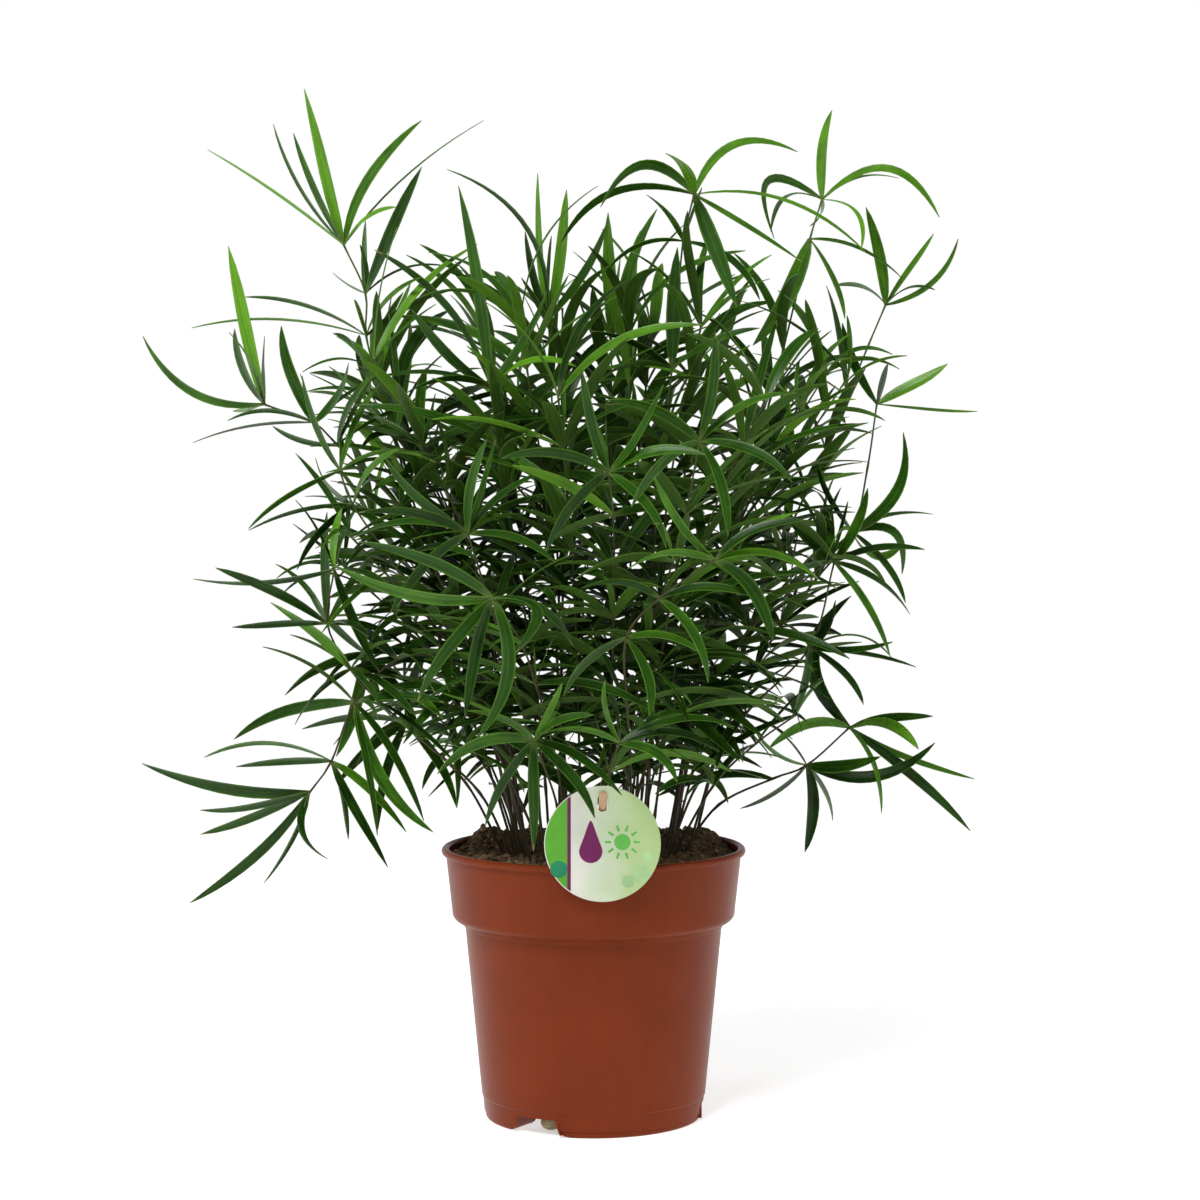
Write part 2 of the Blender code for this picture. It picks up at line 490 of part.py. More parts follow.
def place_upright(bm, verts, centre):
    """Turns a flat shape that lies on the ground so that it faces the viewer, and moves it."""
    bmesh.ops.rotate(bm, verts=verts, cent=(0, 0, 0), matrix=Quaternion((1, 0, 0), math.pi / 2).to_matrix())
    bmesh.ops.translate(bm, verts=verts, vec=centre)


def make_drain_root(finish):
    bm = bmesh.new()
    path = [Vector(point[:3]) * MM for point in DRAIN_ROOT]
    loops = []
    for i, point in enumerate(path):
        along = (path[min(i + 1, len(path) - 1)] - path[max(i - 1, 0)]).normalized()
        if i == 0:
            along = Vector((0, 0, -1))
        ring = bmesh.ops.create_circle(bm, segments=10, radius=DRAIN_ROOT[i][3] * MM)["verts"]
        bmesh.ops.rotate(bm, verts=ring, cent=(0, 0, 0), matrix=along.to_track_quat("Z", "Y").to_matrix())
        bmesh.ops.translate(bm, verts=ring, vec=point)
        loops.append([edge for edge in bm.edges if edge.verts[0] in ring and edge.verts[1] in ring])
    for near, far in zip(loops, loops[1:]):
        bmesh.ops.bridge_loops(bm, edges=near + far)
    bmesh.ops.holes_fill(bm, edges=loops[0] + loops[-1])
    bmesh.ops.recalc_face_normals(bm, faces=bm.faces)
    return add_object("drain_root", bm, finish)


class StemPath:
    """A smooth curve through the given points, read by the distance along it."""

    def __init__(self, points):
        self.points = []
        ends = [2 * points[0] - points[1]] + points + [2 * points[-1] - points[-2]]
        for before, start, end, after in zip(ends, ends[1:], ends[2:], ends[3:]):
            for step in range(PATH_STEPS):
                t = step / PATH_STEPS
                self.points.append(
                    0.5 * (2 * start + (end - before) * t + (2 * before - 5 * start + 4 * end - after) * t**2
                           + (3 * start - 3 * end + after - before) * t**3)
                )
        self.points.append(points[-1].copy())
        self.distances = [0.0]
        for near, far in zip(self.points, self.points[1:]):
            self.distances.append(self.distances[-1] + (far - near).length)
        self.marks = [self.distances[PATH_STEPS * i] for i in range(len(points))]
        self.length = self.distances[-1]

    def at(self, distance):
        distance = min(max(distance, 0.0), self.length)
        i = next(i for i, reached in enumerate(self.distances[1:]) if reached >= distance - 1e-12)
        share = (distance - self.distances[i]) / (self.distances[i + 1] - self.distances[i])
        return self.points[i].lerp(self.points[i + 1], share)

    def along(self, distance):
        return (self.at(distance + SLOPE_REACH) - self.at(distance - SLOPE_REACH)).normalized()


class Leaf:
    """One strap-shaped leaf: a bent three-sided solid, flat on top and keeled below."""

    def __init__(self, base, reach, bend, facing, width, long):
        chord = reach.normalized()
        self.base = base
        self.reach = reach
        self.bend = bend
        self.facing = (facing - chord * facing.dot(chord)).normalized()
        self.width = width
        self.stations = LONG_STATIONS if long else SHORT_STATIONS

    def centre(self, share):
        return self.base + self.reach * share + self.bend * (4 * share * (1 - share))

    def parting(self, other):
        """The angle between the ways that this leaf and another set out from their whorl."""
        share = self.stations[0][0]
        return (self.centre(share) - self.base).angle(other.centre(share) - other.base)

    def axes(self, share):
        """Unit vectors along the leaf, to its right and out of its upper face."""
        along = (self.reach + self.bend * (4 - 8 * share)).normalized()
        side = along.cross(self.facing).normalized()
        return along, side, side.cross(along)

    def ring(self, station, more=0.0):
        """Left edge, right edge and keel at a station, wider all round by what is asked for."""
        share, wide = station
        _, side, up = self.axes(share)
        depth = KEEL_DEPTHS[0] if share < 0.3 else KEEL_DEPTHS[1]
        half = self.width * wide / 2 + more
        centre = self.centre(share)
        left = centre - side * half + up * more
        right = centre + side * half + up * more
        return [left, right, centre - up * (depth + more)]

    def base_ring(self, more=0.0):
        """A triangle around the stem that holds any side of it that the leaf may grow from."""
        _, side, up = self.axes(0)
        half = SOCKET_REACH + more
        left = self.base - side * half + up * half
        right = self.base + side * half + up * half
        return [left, right, self.base - up * half]

    def tip(self, more=0.0):
        return self.centre(1) + (self.reach - self.bend * 4).normalized() * more

    def shell(self, more=0.0, from_base=True):
        """Its triangles for the clearance tests, as (points, faces)."""
        rings = [self.ring(station, more) for station in self.stations]
        if from_base:
            rings.insert(0, self.base_ring(more))
        points = [corner for ring in rings for corner in ring] + [self.tip(more)]
        faces = []
        for start in range(0, 3 * (len(rings) - 1), 3):
            for i in range(3):
                j = (i + 1) % 3
                faces.append((start + i, start + j, start + 3 + j))
                faces.append((start + i, start + 3 + j, start + 3 + i))
        last = 3 * (len(rings) - 1)
        faces += [(last + i, last + (i + 1) % 3, len(points) - 1) for i in range(3)]
        return points, faces


class Shape:
    """The triangles of something that has been placed, with its box, for the clearance tests."""

    def __init__(self, points, faces):
        self.tree = BVHTree.FromPolygons(points, faces, all_triangles=True)
        self.low = [min(point[axis] for point in points) for axis in range(3)]
        self.high = [max(point[axis] for point in points) for axis in range(3)]

    def meets(self, other):
        for axis in range(3):
            if self.low[axis] > other.high[axis] or self.high[axis] < other.low[axis]:
                return False
        return bool(self.tree.overlap(other.tree))


class Shoot:
    """A stem and its whorls of leaves, which is one piece of the plant."""

    def __init__(self, name, points, whorls, leafy_from, rng):
        self.name = name
        self.path = StemPath(points)
        self.rng = rng
        first = len(points) - len(whorls)
        self.whorls = [[self.path.marks[first + i], leaves] for i, leaves in enumerate(whorls)]
        self.add_rule_whorls(leafy_from)
        self.whorls.sort(key=lambda whorl: whorl[0])
        self.leaves = [[] for _ in self.whorls]
        self.heading = rng.uniform(0, math.tau)

    def add_rule_whorls(self, leafy_from):
        """Spaces whorls up the stem, from the height where it turns leafy to its first given whorl."""
        last = self.whorls[0][0] - TOP_WHORL_GAP if self.whorls else self.path.length
        distance = next((d for d, p in zip(self.path.distances, self.path.points) if p.z > leafy_from), last)
        while distance <= last:
            self.whorls.append([distance, None])
            distance += self.rng.uniform(*WHORL_SPACING)
        if not any(abs(whorl[0] - self.path.length) < TOP_WHORL_GAP for whorl in self.whorls):
            self.whorls.append([self.path.length, None])

    def radius(self, distance):
        share = distance / self.path.length
        return STEM_RADII[0] + share * (STEM_RADII[1] - STEM_RADII[0])

    def stations(self):
        """The distances where the stem has a ring, with each whorl's two rings marked by its number."""
        found = [(0.0, None)]
        for number, (distance, _) in enumerate(self.whorls):
            distance = min(distance, self.path.length - NODE_HALF)
            bare = distance - NODE_HALF - found[-1][0]
            for step in range(1, math.ceil(bare / BARE_RING_SPACING)):
                pieces = math.ceil(bare / BARE_RING_SPACING)
                found.append((distance - NODE_HALF - bare * (pieces - step) / pieces, None))
            found.append((distance - NODE_HALF, None))
            found.append((distance + NODE_HALF, number))
        return found

    def ring(self, distance, swell=1.0, more=0.0):
        """Three corners around the stem, anticlockwise about its growth."""
        along = self.path.along(distance) if distance > 0 else Vector((0, 0, 1))
        across = along.cross(Vector((math.cos(self.heading), math.sin(self.heading), 0.15))).normalized()
        radius = self.radius(distance) * swell + more
        centre = self.path.at(distance)
        return [centre + Quaternion(along, i * math.tau / 3) @ across * radius for i in range(3)]

    def stem_shape(self, more=0.0):
        points = []
        faces = []
        for distance, _ in self.stations():
            points += self.ring(distance, NODE_SWELL, more)
        for start in range(0, len(points) - 3, 3):
            for i in range(3):
                j = (i + 1) % 3
                faces.append((start + i, start + j, start + 3 + j))
                faces.append((start + i, start + 3 + j, start + 3 + i))
        return Shape(points, faces)


def extrude_to(bm, face, ring):
    """Extrudes a triangle and puts its corners on the ring, turned so that the sides twist least."""
    top = bmesh.ops.extrude_discrete_faces(bm, faces=[face])["faces"][0]
    corners = [loop.vert for loop in top.loops]

    def travel(turn):
        return sum((vert.co - ring[(i + turn) % 3]).length_squared for i, vert in enumerate(corners))

    turn = min(range(3), key=travel)
    for i, vert in enumerate(corners):
        vert.co = ring[(i + turn) % 3]
    return top


def grow_leaf(bm, socket, leaf, reached):
    """Extrudes a leaf from its socket. Its tip stands at the share of its length that is reached."""
    face = socket
    for station in leaf.stations:
        face = extrude_to(bm, face, leaf.ring(station))
    tip = bmesh.ops.poke(bm, faces=[face])["verts"][0]
    tip.co = leaf.centre(reached)


def grow_whorl(bm, sockets, leaves, reached):
    """Grows each leaf from a socket of its own, matched so that together they face the leaves' ways best."""
    centre = sum((socket.calc_center_median() for socket in sockets), Vector()) / len(sockets)
    matches = []
    for leaf in leaves:
        start = (leaf.centre(leaf.stations[0][0]) - centre).normalized()
        matches.append([
            socket.normal.dot(start) + SOCKET_OFFSET_WEIGHT * (socket.calc_center_median() - centre).dot(start)
            for socket in sockets
        ])

    def total(order):
        return sum(match[i] for match, i in zip(matches, order))

    best = max(permutations(range(len(sockets)), len(leaves)), key=total)
    for leaf, i in zip(leaves, best):
        grow_leaf(bm, sockets[i], leaf, reached)


def grow_shoot(shoot, finish):
    """Extrudes the stem from ring to ring, with the leaves of each whorl from its sides."""
    bm = bmesh.new()
    stations = shoot.stations()
    foot = [bm.verts.new(corner) for corner in shoot.ring(0)]
    face = bm.faces.new(foot)
    for i, (distance, number) in enumerate(stations[1:], start=1):
        below_whorl = i + 1 < len(stations) and stations[i + 1][1] is not None
        swell = NODE_SWELL if below_whorl or number is not None else 1.0
        face = extrude_to(bm, face, shoot.ring(distance, swell))
        if number is None:
            continue
        band = {side for vert in face.verts for side in vert.link_faces} - {face}
        sockets = bmesh.ops.triangulate(bm, faces=list(band))["faces"]
        if distance >= stations[-1][0]:
            sockets.append(face)
        for socket in sockets:
            socket.normal_update()
        grow_whorl(bm, sockets, shoot.leaves[number], TIPS_CUT_SHORT.get(shoot.name, 1.0))
    bm.faces.new(reversed(foot))
    bmesh.ops.triangulate(bm, faces=bm.faces)
    return add_object(shoot.name, bm, finish)


def crown_reach(height):
    """How far the crown reaches from its middle at a height, in metres."""
    height = height / MM
    if not CROWN_REACH[0][0] <= height <= CROWN_REACH[-1][0]:
        return 0.0
    for (low, near), (high, far) in zip(CROWN_REACH, CROWN_REACH[1:]):
        if height <= high:
            return MM * (near + (far - near) * (height - low) / (high - low))
    return 0.0


def inside_crown(point):
    return math.hypot(point.x - CROWN_MIDDLE * MM, point.y / CROWN_DEPTH) <= crown_reach(point.z)


def given_leaf(base, spec):
    """A leaf from its line in the table above."""
    across, up, towards, bow, width, face = spec
    sight = base + Vector((across, 0, up)) * MM - VIEWER
    reach = VIEWER + sight * (1 - towards * MM / sight.y) - base
    left = Vector((-up, 0, across)).normalized()
    viewer = Vector((0, -1, 0))
    facing = viewer * face + left * math.sqrt(1 - face * face)
    return Leaf(base, reach, left * bow * MM, facing, width * MM, True)


def rule_leaf(base, along, turn, rng):
    """A leaf that follows the plant's habit: it rises high in the crown and droops low in it."""
    low, high = LEAF_LIFT_HEIGHTS
    share = (base.z - low) / (high - low)
    rise = LEAF_LIFT[0] + share * (LEAF_LIFT[1] - LEAF_LIFT[0])
    lift = math.radians(rise + rng.uniform(-1, 1) * LEAF_LIFT[2])
    outward = Vector((base.x - CROWN_MIDDLE * MM, base.y, 0)) * 4
    flat = Vector((math.cos(turn), math.sin(turn), 0)) + outward
    reach = (flat.normalized() * math.cos(lift) + Vector((0, 0, 1)) * math.sin(lift)).normalized()
    reach = (reach + along * 0.12).normalized() * rng.uniform(*LEAF_LENGTH)
    chord = reach.normalized()
    above = Vector((0, 0, 1)) - chord * chord.z
    if above.length < 0.2:
        above = outward - chord * outward.dot(chord) + Vector((0.01, 0, 0))
    facing = Quaternion(chord, rng.uniform(-LEAF_TWIST, LEAF_TWIST)) @ above.normalized()
    bow = above.normalized() + chord.cross(above) * rng.uniform(-0.7, 0.7)
    bend = bow * reach.length * rng.uniform(*LEAF_BOW)
    return Leaf(base, reach, bend, facing, rng.uniform(*LEAF_WIDTH), False)


def fits(leaf, shoot, number, placed, stems, still):
    """Whether a leaf clears everything else by GROW_GAP, and beyond its base its own shoot too."""
    whole = Shape(*leaf.shell(GROW_GAP))
    outer = Shape(*leaf.shell(GROW_GAP, from_base=False))
    if any(whole.meets(other) for other in still):
        return False
    for other_shoot, stem in stems:
        if (outer if other_shoot is shoot else whole).meets(stem):
            return False
    for other_shoot, other_number, other_whole, other_outer in placed:
        if other_shoot is shoot and other_number == number:
            if outer.meets(other_outer):
                return False
        elif whole.meets(other_whole):
            return False
    return True


def place_given_leaves(shoot, number, specs, placed, stems, still):
    """Places the leaves of the table, each moved a little nearer or farther where another is in its way."""
    distance = shoot.whorls[number][0]
    for spec in specs:
        across, up, towards, *rest = spec
        for shift in LEAF_SHIFTS:
            leaf = given_leaf(shoot.path.at(distance), (across, up, towards + shift, *rest))
            if fits(leaf, shoot, number, placed, stems, still):
                keep(leaf, shoot, number, placed)
                break


def place_rule_leaves(shoot, number, placed, stems, still):
    distance = shoot.whorls[number][0]
    base = shoot.path.at(distance)
    along = shoot.path.along(distance)
    count = shoot.rng.choice(LEAF_COUNTS)
    first = shoot.rng.uniform(0, math.tau)
    for i in range(count):
        for _ in range(LEAF_TRIES):
            turn = first + i * math.tau / count + shoot.rng.uniform(-0.4, 0.4)
            leaf = rule_leaf(base, along, turn, shoot.rng)
            if any(leaf.parting(other) < LEAST_PARTING for other in shoot.leaves[number]):
                continue
            if inside_crown(leaf.centre(1)) and fits(leaf, shoot, number, placed, stems, still):
                keep(leaf, shoot, number, placed)
                break


def keep(leaf, shoot, number, placed):
    shoot.leaves[number].append(leaf)
    placed.append((shoot, number, Shape(*leaf.shell()), Shape(*leaf.shell(from_base=False))))


def on_soil(x, y, soil_tree):
    """The point where a stem leaves the soil, above the highest ground under its foot."""
    reach = FOOT_RING * STEM_RADII[0]
    tops = []
    for dx, dy in ((0, 0), (reach, 0), (-reach, 0), (0, reach), (0, -reach)):
        hit = soil_tree.ray_cast(Vector((x + dx, y + dy, 1)), Vector((0, 0, -1)))[0]
        tops.append(hit.z)
    return Vector((x, y, max(tops) + CLEARANCE))


def outline_shoot(number, entry, soil_tree, rng, sway):
    root, passed, whorls = entry
    foot = on_soil(root[0] * MM, root[1] * MM, soil_tree)
    points = [foot]
    for point in passed:
        points.append(Vector(point) * MM + sway)
    points += [Vector(where) * MM for where, _ in whorls]
    leafy_from = (205 + rng.uniform(-12, 25)) * MM
    return Shoot(f"shoot_{number:02d}", points, [leaves for _, leaves in whorls], leafy_from, rng)


def fill_shoot(number, turn, ring, soil_tree, rng, sway):
    """A shoot whose tip stands in one of the crown's rings. It rises steeply and then leans outwards."""
    _, out, top, leafy_from = ring
    top = (top + rng.uniform(-14, 14)) * MM
    outward = Vector((math.cos(turn), CROWN_DEPTH * math.sin(turn), 0))
    reach = out * crown_reach(top) * rng.uniform(0.82, 1.0)
    middle = Vector((CROWN_MIDDLE * MM, 0, 0))
    tip = middle + outward * reach + Vector((0, 0, top)) + sway
    root_reach = 0.35 + 0.65 * out
    foot = Vector((FILL_ROOT_REACH[0] * outward.x, FILL_ROOT_REACH[1] * outward.y, 0)) * root_reach * MM
    foot = on_soil(foot.x + middle.x + sway.x / 3, foot.y + sway.y / 3, soil_tree)
    waist = foot.lerp(tip, 0.5) - outward * reach * 0.10 + sway
    waist.z += (tip.z - foot.z) * 0.10
    leafy = (leafy_from + rng.uniform(-10, 20)) * MM
    return Shoot(f"shoot_{number:02d}", [foot, waist, tip], [], leafy, rng)


def place_shoot(make, stems, still, rng):
    """Tries a shoot with different sways of its stem until the stem clears everything."""
    for attempt in range(STEM_TRIES):
        sway = Vector((rng.uniform(-1, 1), rng.uniform(-1, 1), 0)) * attempt * SWAY_STEP
        shoot = make(sway)
        stem = shoot.stem_shape(GROW_GAP)
        if not any(stem.meets(other) for _, other in stems) and not any(stem.meets(other) for other in still):
            stems.append((shoot, shoot.stem_shape()))
            return shoot
    return None


def obstacle(obj):
    """The finished outside of an object, about the pot's axis."""
    graph = bpy.context.evaluated_depsgraph_get()
    mesh = obj.evaluated_get(graph).to_mesh()
    mesh.calc_loop_triangles()
    points = [vert.co.copy() for vert in mesh.vertices]
    faces = [tuple(triangle.vertices) for triangle in mesh.loop_triangles]
    return Shape(points, faces)


def make_shoots(finish, still, soil_tree):
    """Places all stems first, then the leaves of the outline, then the leaves that follow the rule."""
    rng = random.Random(SEED)
    stems = []
    shoots = []
    for entry in OUTLINE_SHOOTS:
        number = len(shoots) + 1
        make = partial(outline_shoot, number, entry, soil_tree, rng)
        shoot = place_shoot(make, stems, still, rng)
        shoots += [shoot] if shoot else []
    turn = 0.4
    for ring in FILL_RINGS:
        for _ in range(ring[0]):
            turn += math.tau / ring[0]
            side = turn - SIDE_BIAS * math.sin(2 * turn)
            number = len(shoots) + 1
            make = partial(fill_shoot, number, side, ring, soil_tree, rng)
            shoot = place_shoot(make, stems, still, rng)
            shoots += [shoot] if shoot else []
        turn += GOLDEN_ANGLE
    placed = []
    for given in (True, False):
        for shoot in shoots:
            for number, (_, specs) in enumerate(shoot.whorls):
                if given and specs:
                    place_given_leaves(shoot, number, specs, placed, stems, still)
                elif not given and not specs:
                    place_rule_leaves(shoot, number, placed, stems, still)
    for shoot in shoots:
        grow_shoot(shoot, finish)


def main():
    for obj in list(bpy.data.objects):
        bpy.data.objects.remove(obj)
    terracotta = material("terracotta_plastic", (0.20, 0.035, 0.015), 0.42)
    earth = material("potting_soil", (0.024, 0.017, 0.009), 0.95)
    card = material("printed_card", (0.60, 0.72, 0.42), 0.45)
    wood = material("pale_wood", (0.42, 0.27, 0.14), 0.65)
    tuber = material("root_skin", (0.25, 0.20, 0.10), 0.8)
    green = material("leaf_green", (0.035, 0.13, 0.012), 0.35)
    pot = make_pot(terracotta)
    stake = add_object("label_stake", stake_mesh(STAKE_RADIUS, 0), wood)
    soil = make_soil(earth)
    label = make_label(card)
    make_drain_root(tuber)
    bpy.context.view_layer.update()
    still = [obstacle(obj) for obj in (pot, soil, label, stake)]
    make_shoots(green, still, still[1].tree)


main()
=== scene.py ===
"""The looks of a potted asparagus fern: leaves, stems, crumbly soil, a care label and a moulded pot.

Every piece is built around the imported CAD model, which is the frame. Lengths are in metres, +Z is up, and the
viewer looks along +Y. The file is laid out as a Blender add-on, and is run as a script.
"""

import math
import random

import bmesh
import bpy
from bpy.props import FloatProperty, FloatVectorProperty, IntProperty, PointerProperty
from mathutils import Matrix, Quaternion, Vector, noise


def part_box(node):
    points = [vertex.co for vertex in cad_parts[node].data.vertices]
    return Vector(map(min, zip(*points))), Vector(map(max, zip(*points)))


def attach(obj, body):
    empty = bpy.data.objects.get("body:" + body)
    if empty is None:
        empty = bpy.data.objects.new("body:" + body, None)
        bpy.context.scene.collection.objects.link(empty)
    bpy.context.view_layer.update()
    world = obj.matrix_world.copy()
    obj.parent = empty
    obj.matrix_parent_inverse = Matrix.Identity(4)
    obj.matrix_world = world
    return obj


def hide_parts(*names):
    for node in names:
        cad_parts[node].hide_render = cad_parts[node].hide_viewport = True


bl_info = {
    "name": "Potted Asparagus Fern",
    "version": (1, 0, 0),
    "blender": (4, 5, 0),
    "location": "3D View > Sidebar > Potted Fern",
    "description": "Builds the looks of a potted asparagus fern around its packed model",
    "category": "Add Mesh",
}

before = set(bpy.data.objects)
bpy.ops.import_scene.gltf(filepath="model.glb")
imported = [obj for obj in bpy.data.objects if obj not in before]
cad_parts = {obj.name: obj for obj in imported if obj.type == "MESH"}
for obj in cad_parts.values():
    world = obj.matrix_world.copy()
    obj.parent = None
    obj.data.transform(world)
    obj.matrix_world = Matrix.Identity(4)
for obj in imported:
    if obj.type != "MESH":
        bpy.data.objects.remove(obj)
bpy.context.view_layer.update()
BODY = "root"

POT_LOW, POT_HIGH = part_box("pot")
POT_AXIS = Vector(((POT_LOW.x + POT_HIGH.x) / 2, (POT_LOW.y + POT_HIGH.y) / 2, 0))
LABEL_LOW, LABEL_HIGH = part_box("label")
LABEL_MIDDLE = (LABEL_LOW + LABEL_HIGH) / 2
SHOOT_NODES = sorted(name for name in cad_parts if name.startswith("shoot_"))

UPRIGHT = Matrix.Rotation(math.pi / 2, 3, "X")
WELD = 2e-6  # vertices closer than this are one

# The pot's outside and floor: radius and height of each corner, with a small foot lip that the CAD lacks
BEAD_RADIUS = 0.0022
BAND_TOP = (0.0824, 0.147)
UNDER_BEAD = ((0.0001, 0.0002), (-0.0001, -0.0012))  # the crease under the bead, from the band's top
BAND_FOOT = (0.0791, 0.1156)
BAND_CORNER = 0.005
UNDER_BAND = (0.0013, -0.0010)  # the crease under the band, from the body's top and the band's corner
BODY_TOP = (0.0718, 0.108)
BODY_FILLET = 0.0008
BODY_FOOT = (0.0627, 0.0132)
FOOT_TOP = (0.0621, 0.0124)
FOOT_RADIUS = 0.0612
FOOT_CORNER = 0.0018
FOOT_LIP = ((0.0614, 0.0038), (0.0607, 0.0032))
FOOT_INNER_RADIUS = 0.0415
RAISED_FLOOR = 0.0095
RAISED_SLOPE = 0.0012

# The water channels, whose flanks are rounder than the CAD's, and the holes in the floor
CHANNEL_ANGLES = (-121, -1, 119)
CHANNEL_HALF_OUTLINE = (
    (0.0119, 0.0095), (0.0136, 0.0046), (0.0143, 0.0030), (0.0151, 0.0018), (0.0164, 0.0009), (0.0202, 0.0),
    (0.0202, -0.001),
)
CHANNEL_WALL_FOOT = (0.0144, 0.0007)
CHANNEL_ROOF_DROP = 0.0002
CHANNEL_REACH = 1.2  # how far out a channel is cut, as a share of the foot's radius
CHANNEL_HOLE = (0.0496, 0.0060)  # the ring that the holes lie on, and a hole's radius
CHANNEL_HOLE_TURN = 4
FLOOR_HOLE = (0.026, 0.0045)
FLOOR_HOLE_ANGLES = (-61, 59, 179)
DRILL_LENGTH = 0.006

# The soil: the CAD's level and gentle swell, a loose layer over it, and at the back lower heaps, but four
SOIL_LEVEL = 0.1445
SOIL_FOOT = 0.0125
SOIL_EDGE_DROP = 0.001
SOIL_GAP = 0.0003
SOIL_SIDES = 180
SOIL_LUMPS = ((-0.060, 0.040, 0.009), (0.062, 0.040, 0.009), (-0.034, 0.056, 0.006), (0.038, 0.056, 0.006))
SOIL_LUMP_RADIUS = 0.016
SOIL_SWELL = (0.0026, 0.021, 0.009)  # its height, and the width of its coarse and of its fine waves
FINE_SWELL = 0.5  # how high the fine waves are, as a share of the coarse ones
LOOSE_LAYER = 0.0026
CLODS = (0.0062, 0.0024)  # their width and their height
CLOD_LEVEL = 0.45  # how far from a clod's middle the soil is at its level, as a share of the width
GRIT = (0.0030, 0.0011)

# Loose crumbs and fibres on the soil
CRUMB_EDGE = 0.003  # bare border along the pot's wall
CRUMB_RADIUS = 0.0007
CRUMB_EXTRA = 0.0021
CRUMB_DENTS = 0.5
CRUMB_SHAPES = ((0.8, 1.4), (0.7, 1.1), (0.6, 0.9))
CRUMB_SHUFFLE = 900  # how far apart the dents of two crumbs are taken from the noise
CRUMB_LIFT = 0.25  # a crumb's middle above the soil, as a share of its radius
FIBRE_EDGE = 0.006
FIBRE_POINTS = 6
FIBRE_STEP = (0.0008, 0.0024)
FIBRE_LIFT = (0.0001, 0.0011)
FIBRE_TURN = 0.7
FIBRE_RADIUS = (0.00012, 0.00032)
FIBRE_TAPER = 0.6

# The label, from its middle: its slot, the stripe's two sides, and what else is printed on it
SLOT_RISE = 0.0217
SLOT_DEPTH = 0.01
CARD_EDGE = 0.2  # the card's rounded edge, as a share of its thickness
PRINT_BORDER = 0.0005
STRIPE = (-0.0187, -0.0168)
BUBBLES = (
    (-0.0232, -0.0135, 0.0046, "deep_ink"),
    (0.0205, -0.0155, 0.0052, "pale_ink"),
    (0.0136, -0.0200, 0.0034, "pale_ink"),
    (0.0238, -0.0070, 0.0028, "pale_ink"),
)
DROP = (-0.0062, -0.0040, 0.0062)  # its round's centre and radius
DROP_POINT = 0.0165  # its point, above the centre
DROP_WAIST = 0.45
SUN = (0.0106, 0.0010, 0.0043)
SUN_RAYS = 10
RAY = (0.0060, 0.0094, 0.0007, 0.6)  # near and far end from the sun's centre, half width, and taper
LAYER_STEP = 0.12  # how much further each ink stands out than the one before, as a share of the ink

# The stake's axis about the pot's axis, and its rounded end in shares of its radius
STAKE_FOOT = Vector((0.004, -0.060, 0.1445))
STAKE_SLOT = Vector((0.0049, -0.0856, 0.1866))
STAKE_BURIED = 0.030
STAKE_PROUD = 0.0072
STAKE_STEPS = 14
STAKE_WAVER = (0.02, 2.3)  # a share of the radius, and the radians of its wave for each step
STAKE_BREADTH = 1.3
STAKE_END = (0.93, 0.74, 0.42)
STAKE_END_STEP = 0.28

# The swollen root's wrinkles: their width, height and how they are drawn together along the root
WRINKLES = (0.0035, 0.00022, 2.2)

# The CAD shoots: where their leaves have stations, and what tells the vertices apart
LONG_STATIONS = ((0.26, 0.90), (0.63, 0.94))  # share of the length, share of the width
SHORT_STATIONS = ((0.42, 1.0),)
LEAST_TIP_EDGE = 0.006
JOINT_REACH = 0.004

# A stem: its radius at the soil and at its tip, and how it swells at a joint
STEM_RADII = (0.00082, 0.00050)
STEM_SIDES = 7
STEM_STEP = 0.006
JOINT_SWELL = 0.35
JOINT_SWELL_REACH = 0.0022

# A leaf's outline: its half width at a share of its length is (share + start)^rise * (1 - share)^fall
OUTLINE_START = 0.02
OUTLINE_RISE = 0.60
OUTLINE_FALL = 0.75
OUTLINE_MOST = 0.4062
LEAST_HALF_WIDTH = 0.00010
BROADER = 1.08  # a leaf's full width, as a share of the CAD leaf's
LEAF_STEPS = (7, 14)
TURN_PER_STEP = 0.12  # radians of a leaf's curve that need one more step
STEP_GATHER = 0.12  # how much closer a leaf's steps lie near its tip
FOLD = (1.4, 0.45)  # how sharply the midrib folds, and where the fold's middle lies
TWIST = 0.5
UNTWISTED = 0.3  # the share of its length at which a leaf isn't twisted
SWAY = 0.0006

# The crown, for how far out and how high a leaf lies
CROWN_MIDDLE = Vector((-0.002, 0.0, 0.350))
CROWN_HALF = Vector((0.225, 0.158, 0.205))

# A leaf's tone, from 0 for the darkest to 1 for the lightest: partly its age, partly painted light and shade
TONE_PLACE = 0.8  # the share of a leaf's length at which its age is judged
TONE_START = -0.10
# partly age, partly painted light: higher leaves are made lighter, lower ones darker as if in shade
AGE_AND_PAINTED_LIGHT_HIGH = 0.34
AGE_AND_PAINTED_LIGHT_HEIGHTS = (0.20, 0.45)
# partly age, partly painted light: leaves at the crown's outside lighter, those deep inside darker as if in
# shade
AGE_AND_PAINTED_LIGHT_OUTSIDE = 0.36
AGE_CHANCE = 0.13
YOUNG_SHARE = 0.20
YOUNGER = 0.34
DRY_SHARE = 0.12
DRYNESS = (0.15, 1.0)

# The slender leaves between the CAD's, which get longer, steeper and fewer between two heights
INFILL_HEIGHTS = (0.26, 0.44)
INFILL_LIFT = (-50, 50)
INFILL_LIFT_HIGH = 35
INFILL_FORWARD = 0.25
INFILL_LENGTH = (0.028, 0.060)
INFILL_LENGTH_HIGH = 0.016
INFILL_OUTSIDE = 0.93
INFILL_LOWEST = 0.178
INFILL_THINNING = 0.6
INFILL_ROLL = (0.3, 1.5)
INFILL_BEND = (0.05, 0.18)
INFILL_SIDEWAYS = 0.6
INFILL_WIDTH = (0.0018, 0.0040)
INFILL_TWIST = 0.8
NEARLY_UPRIGHT = 0.2

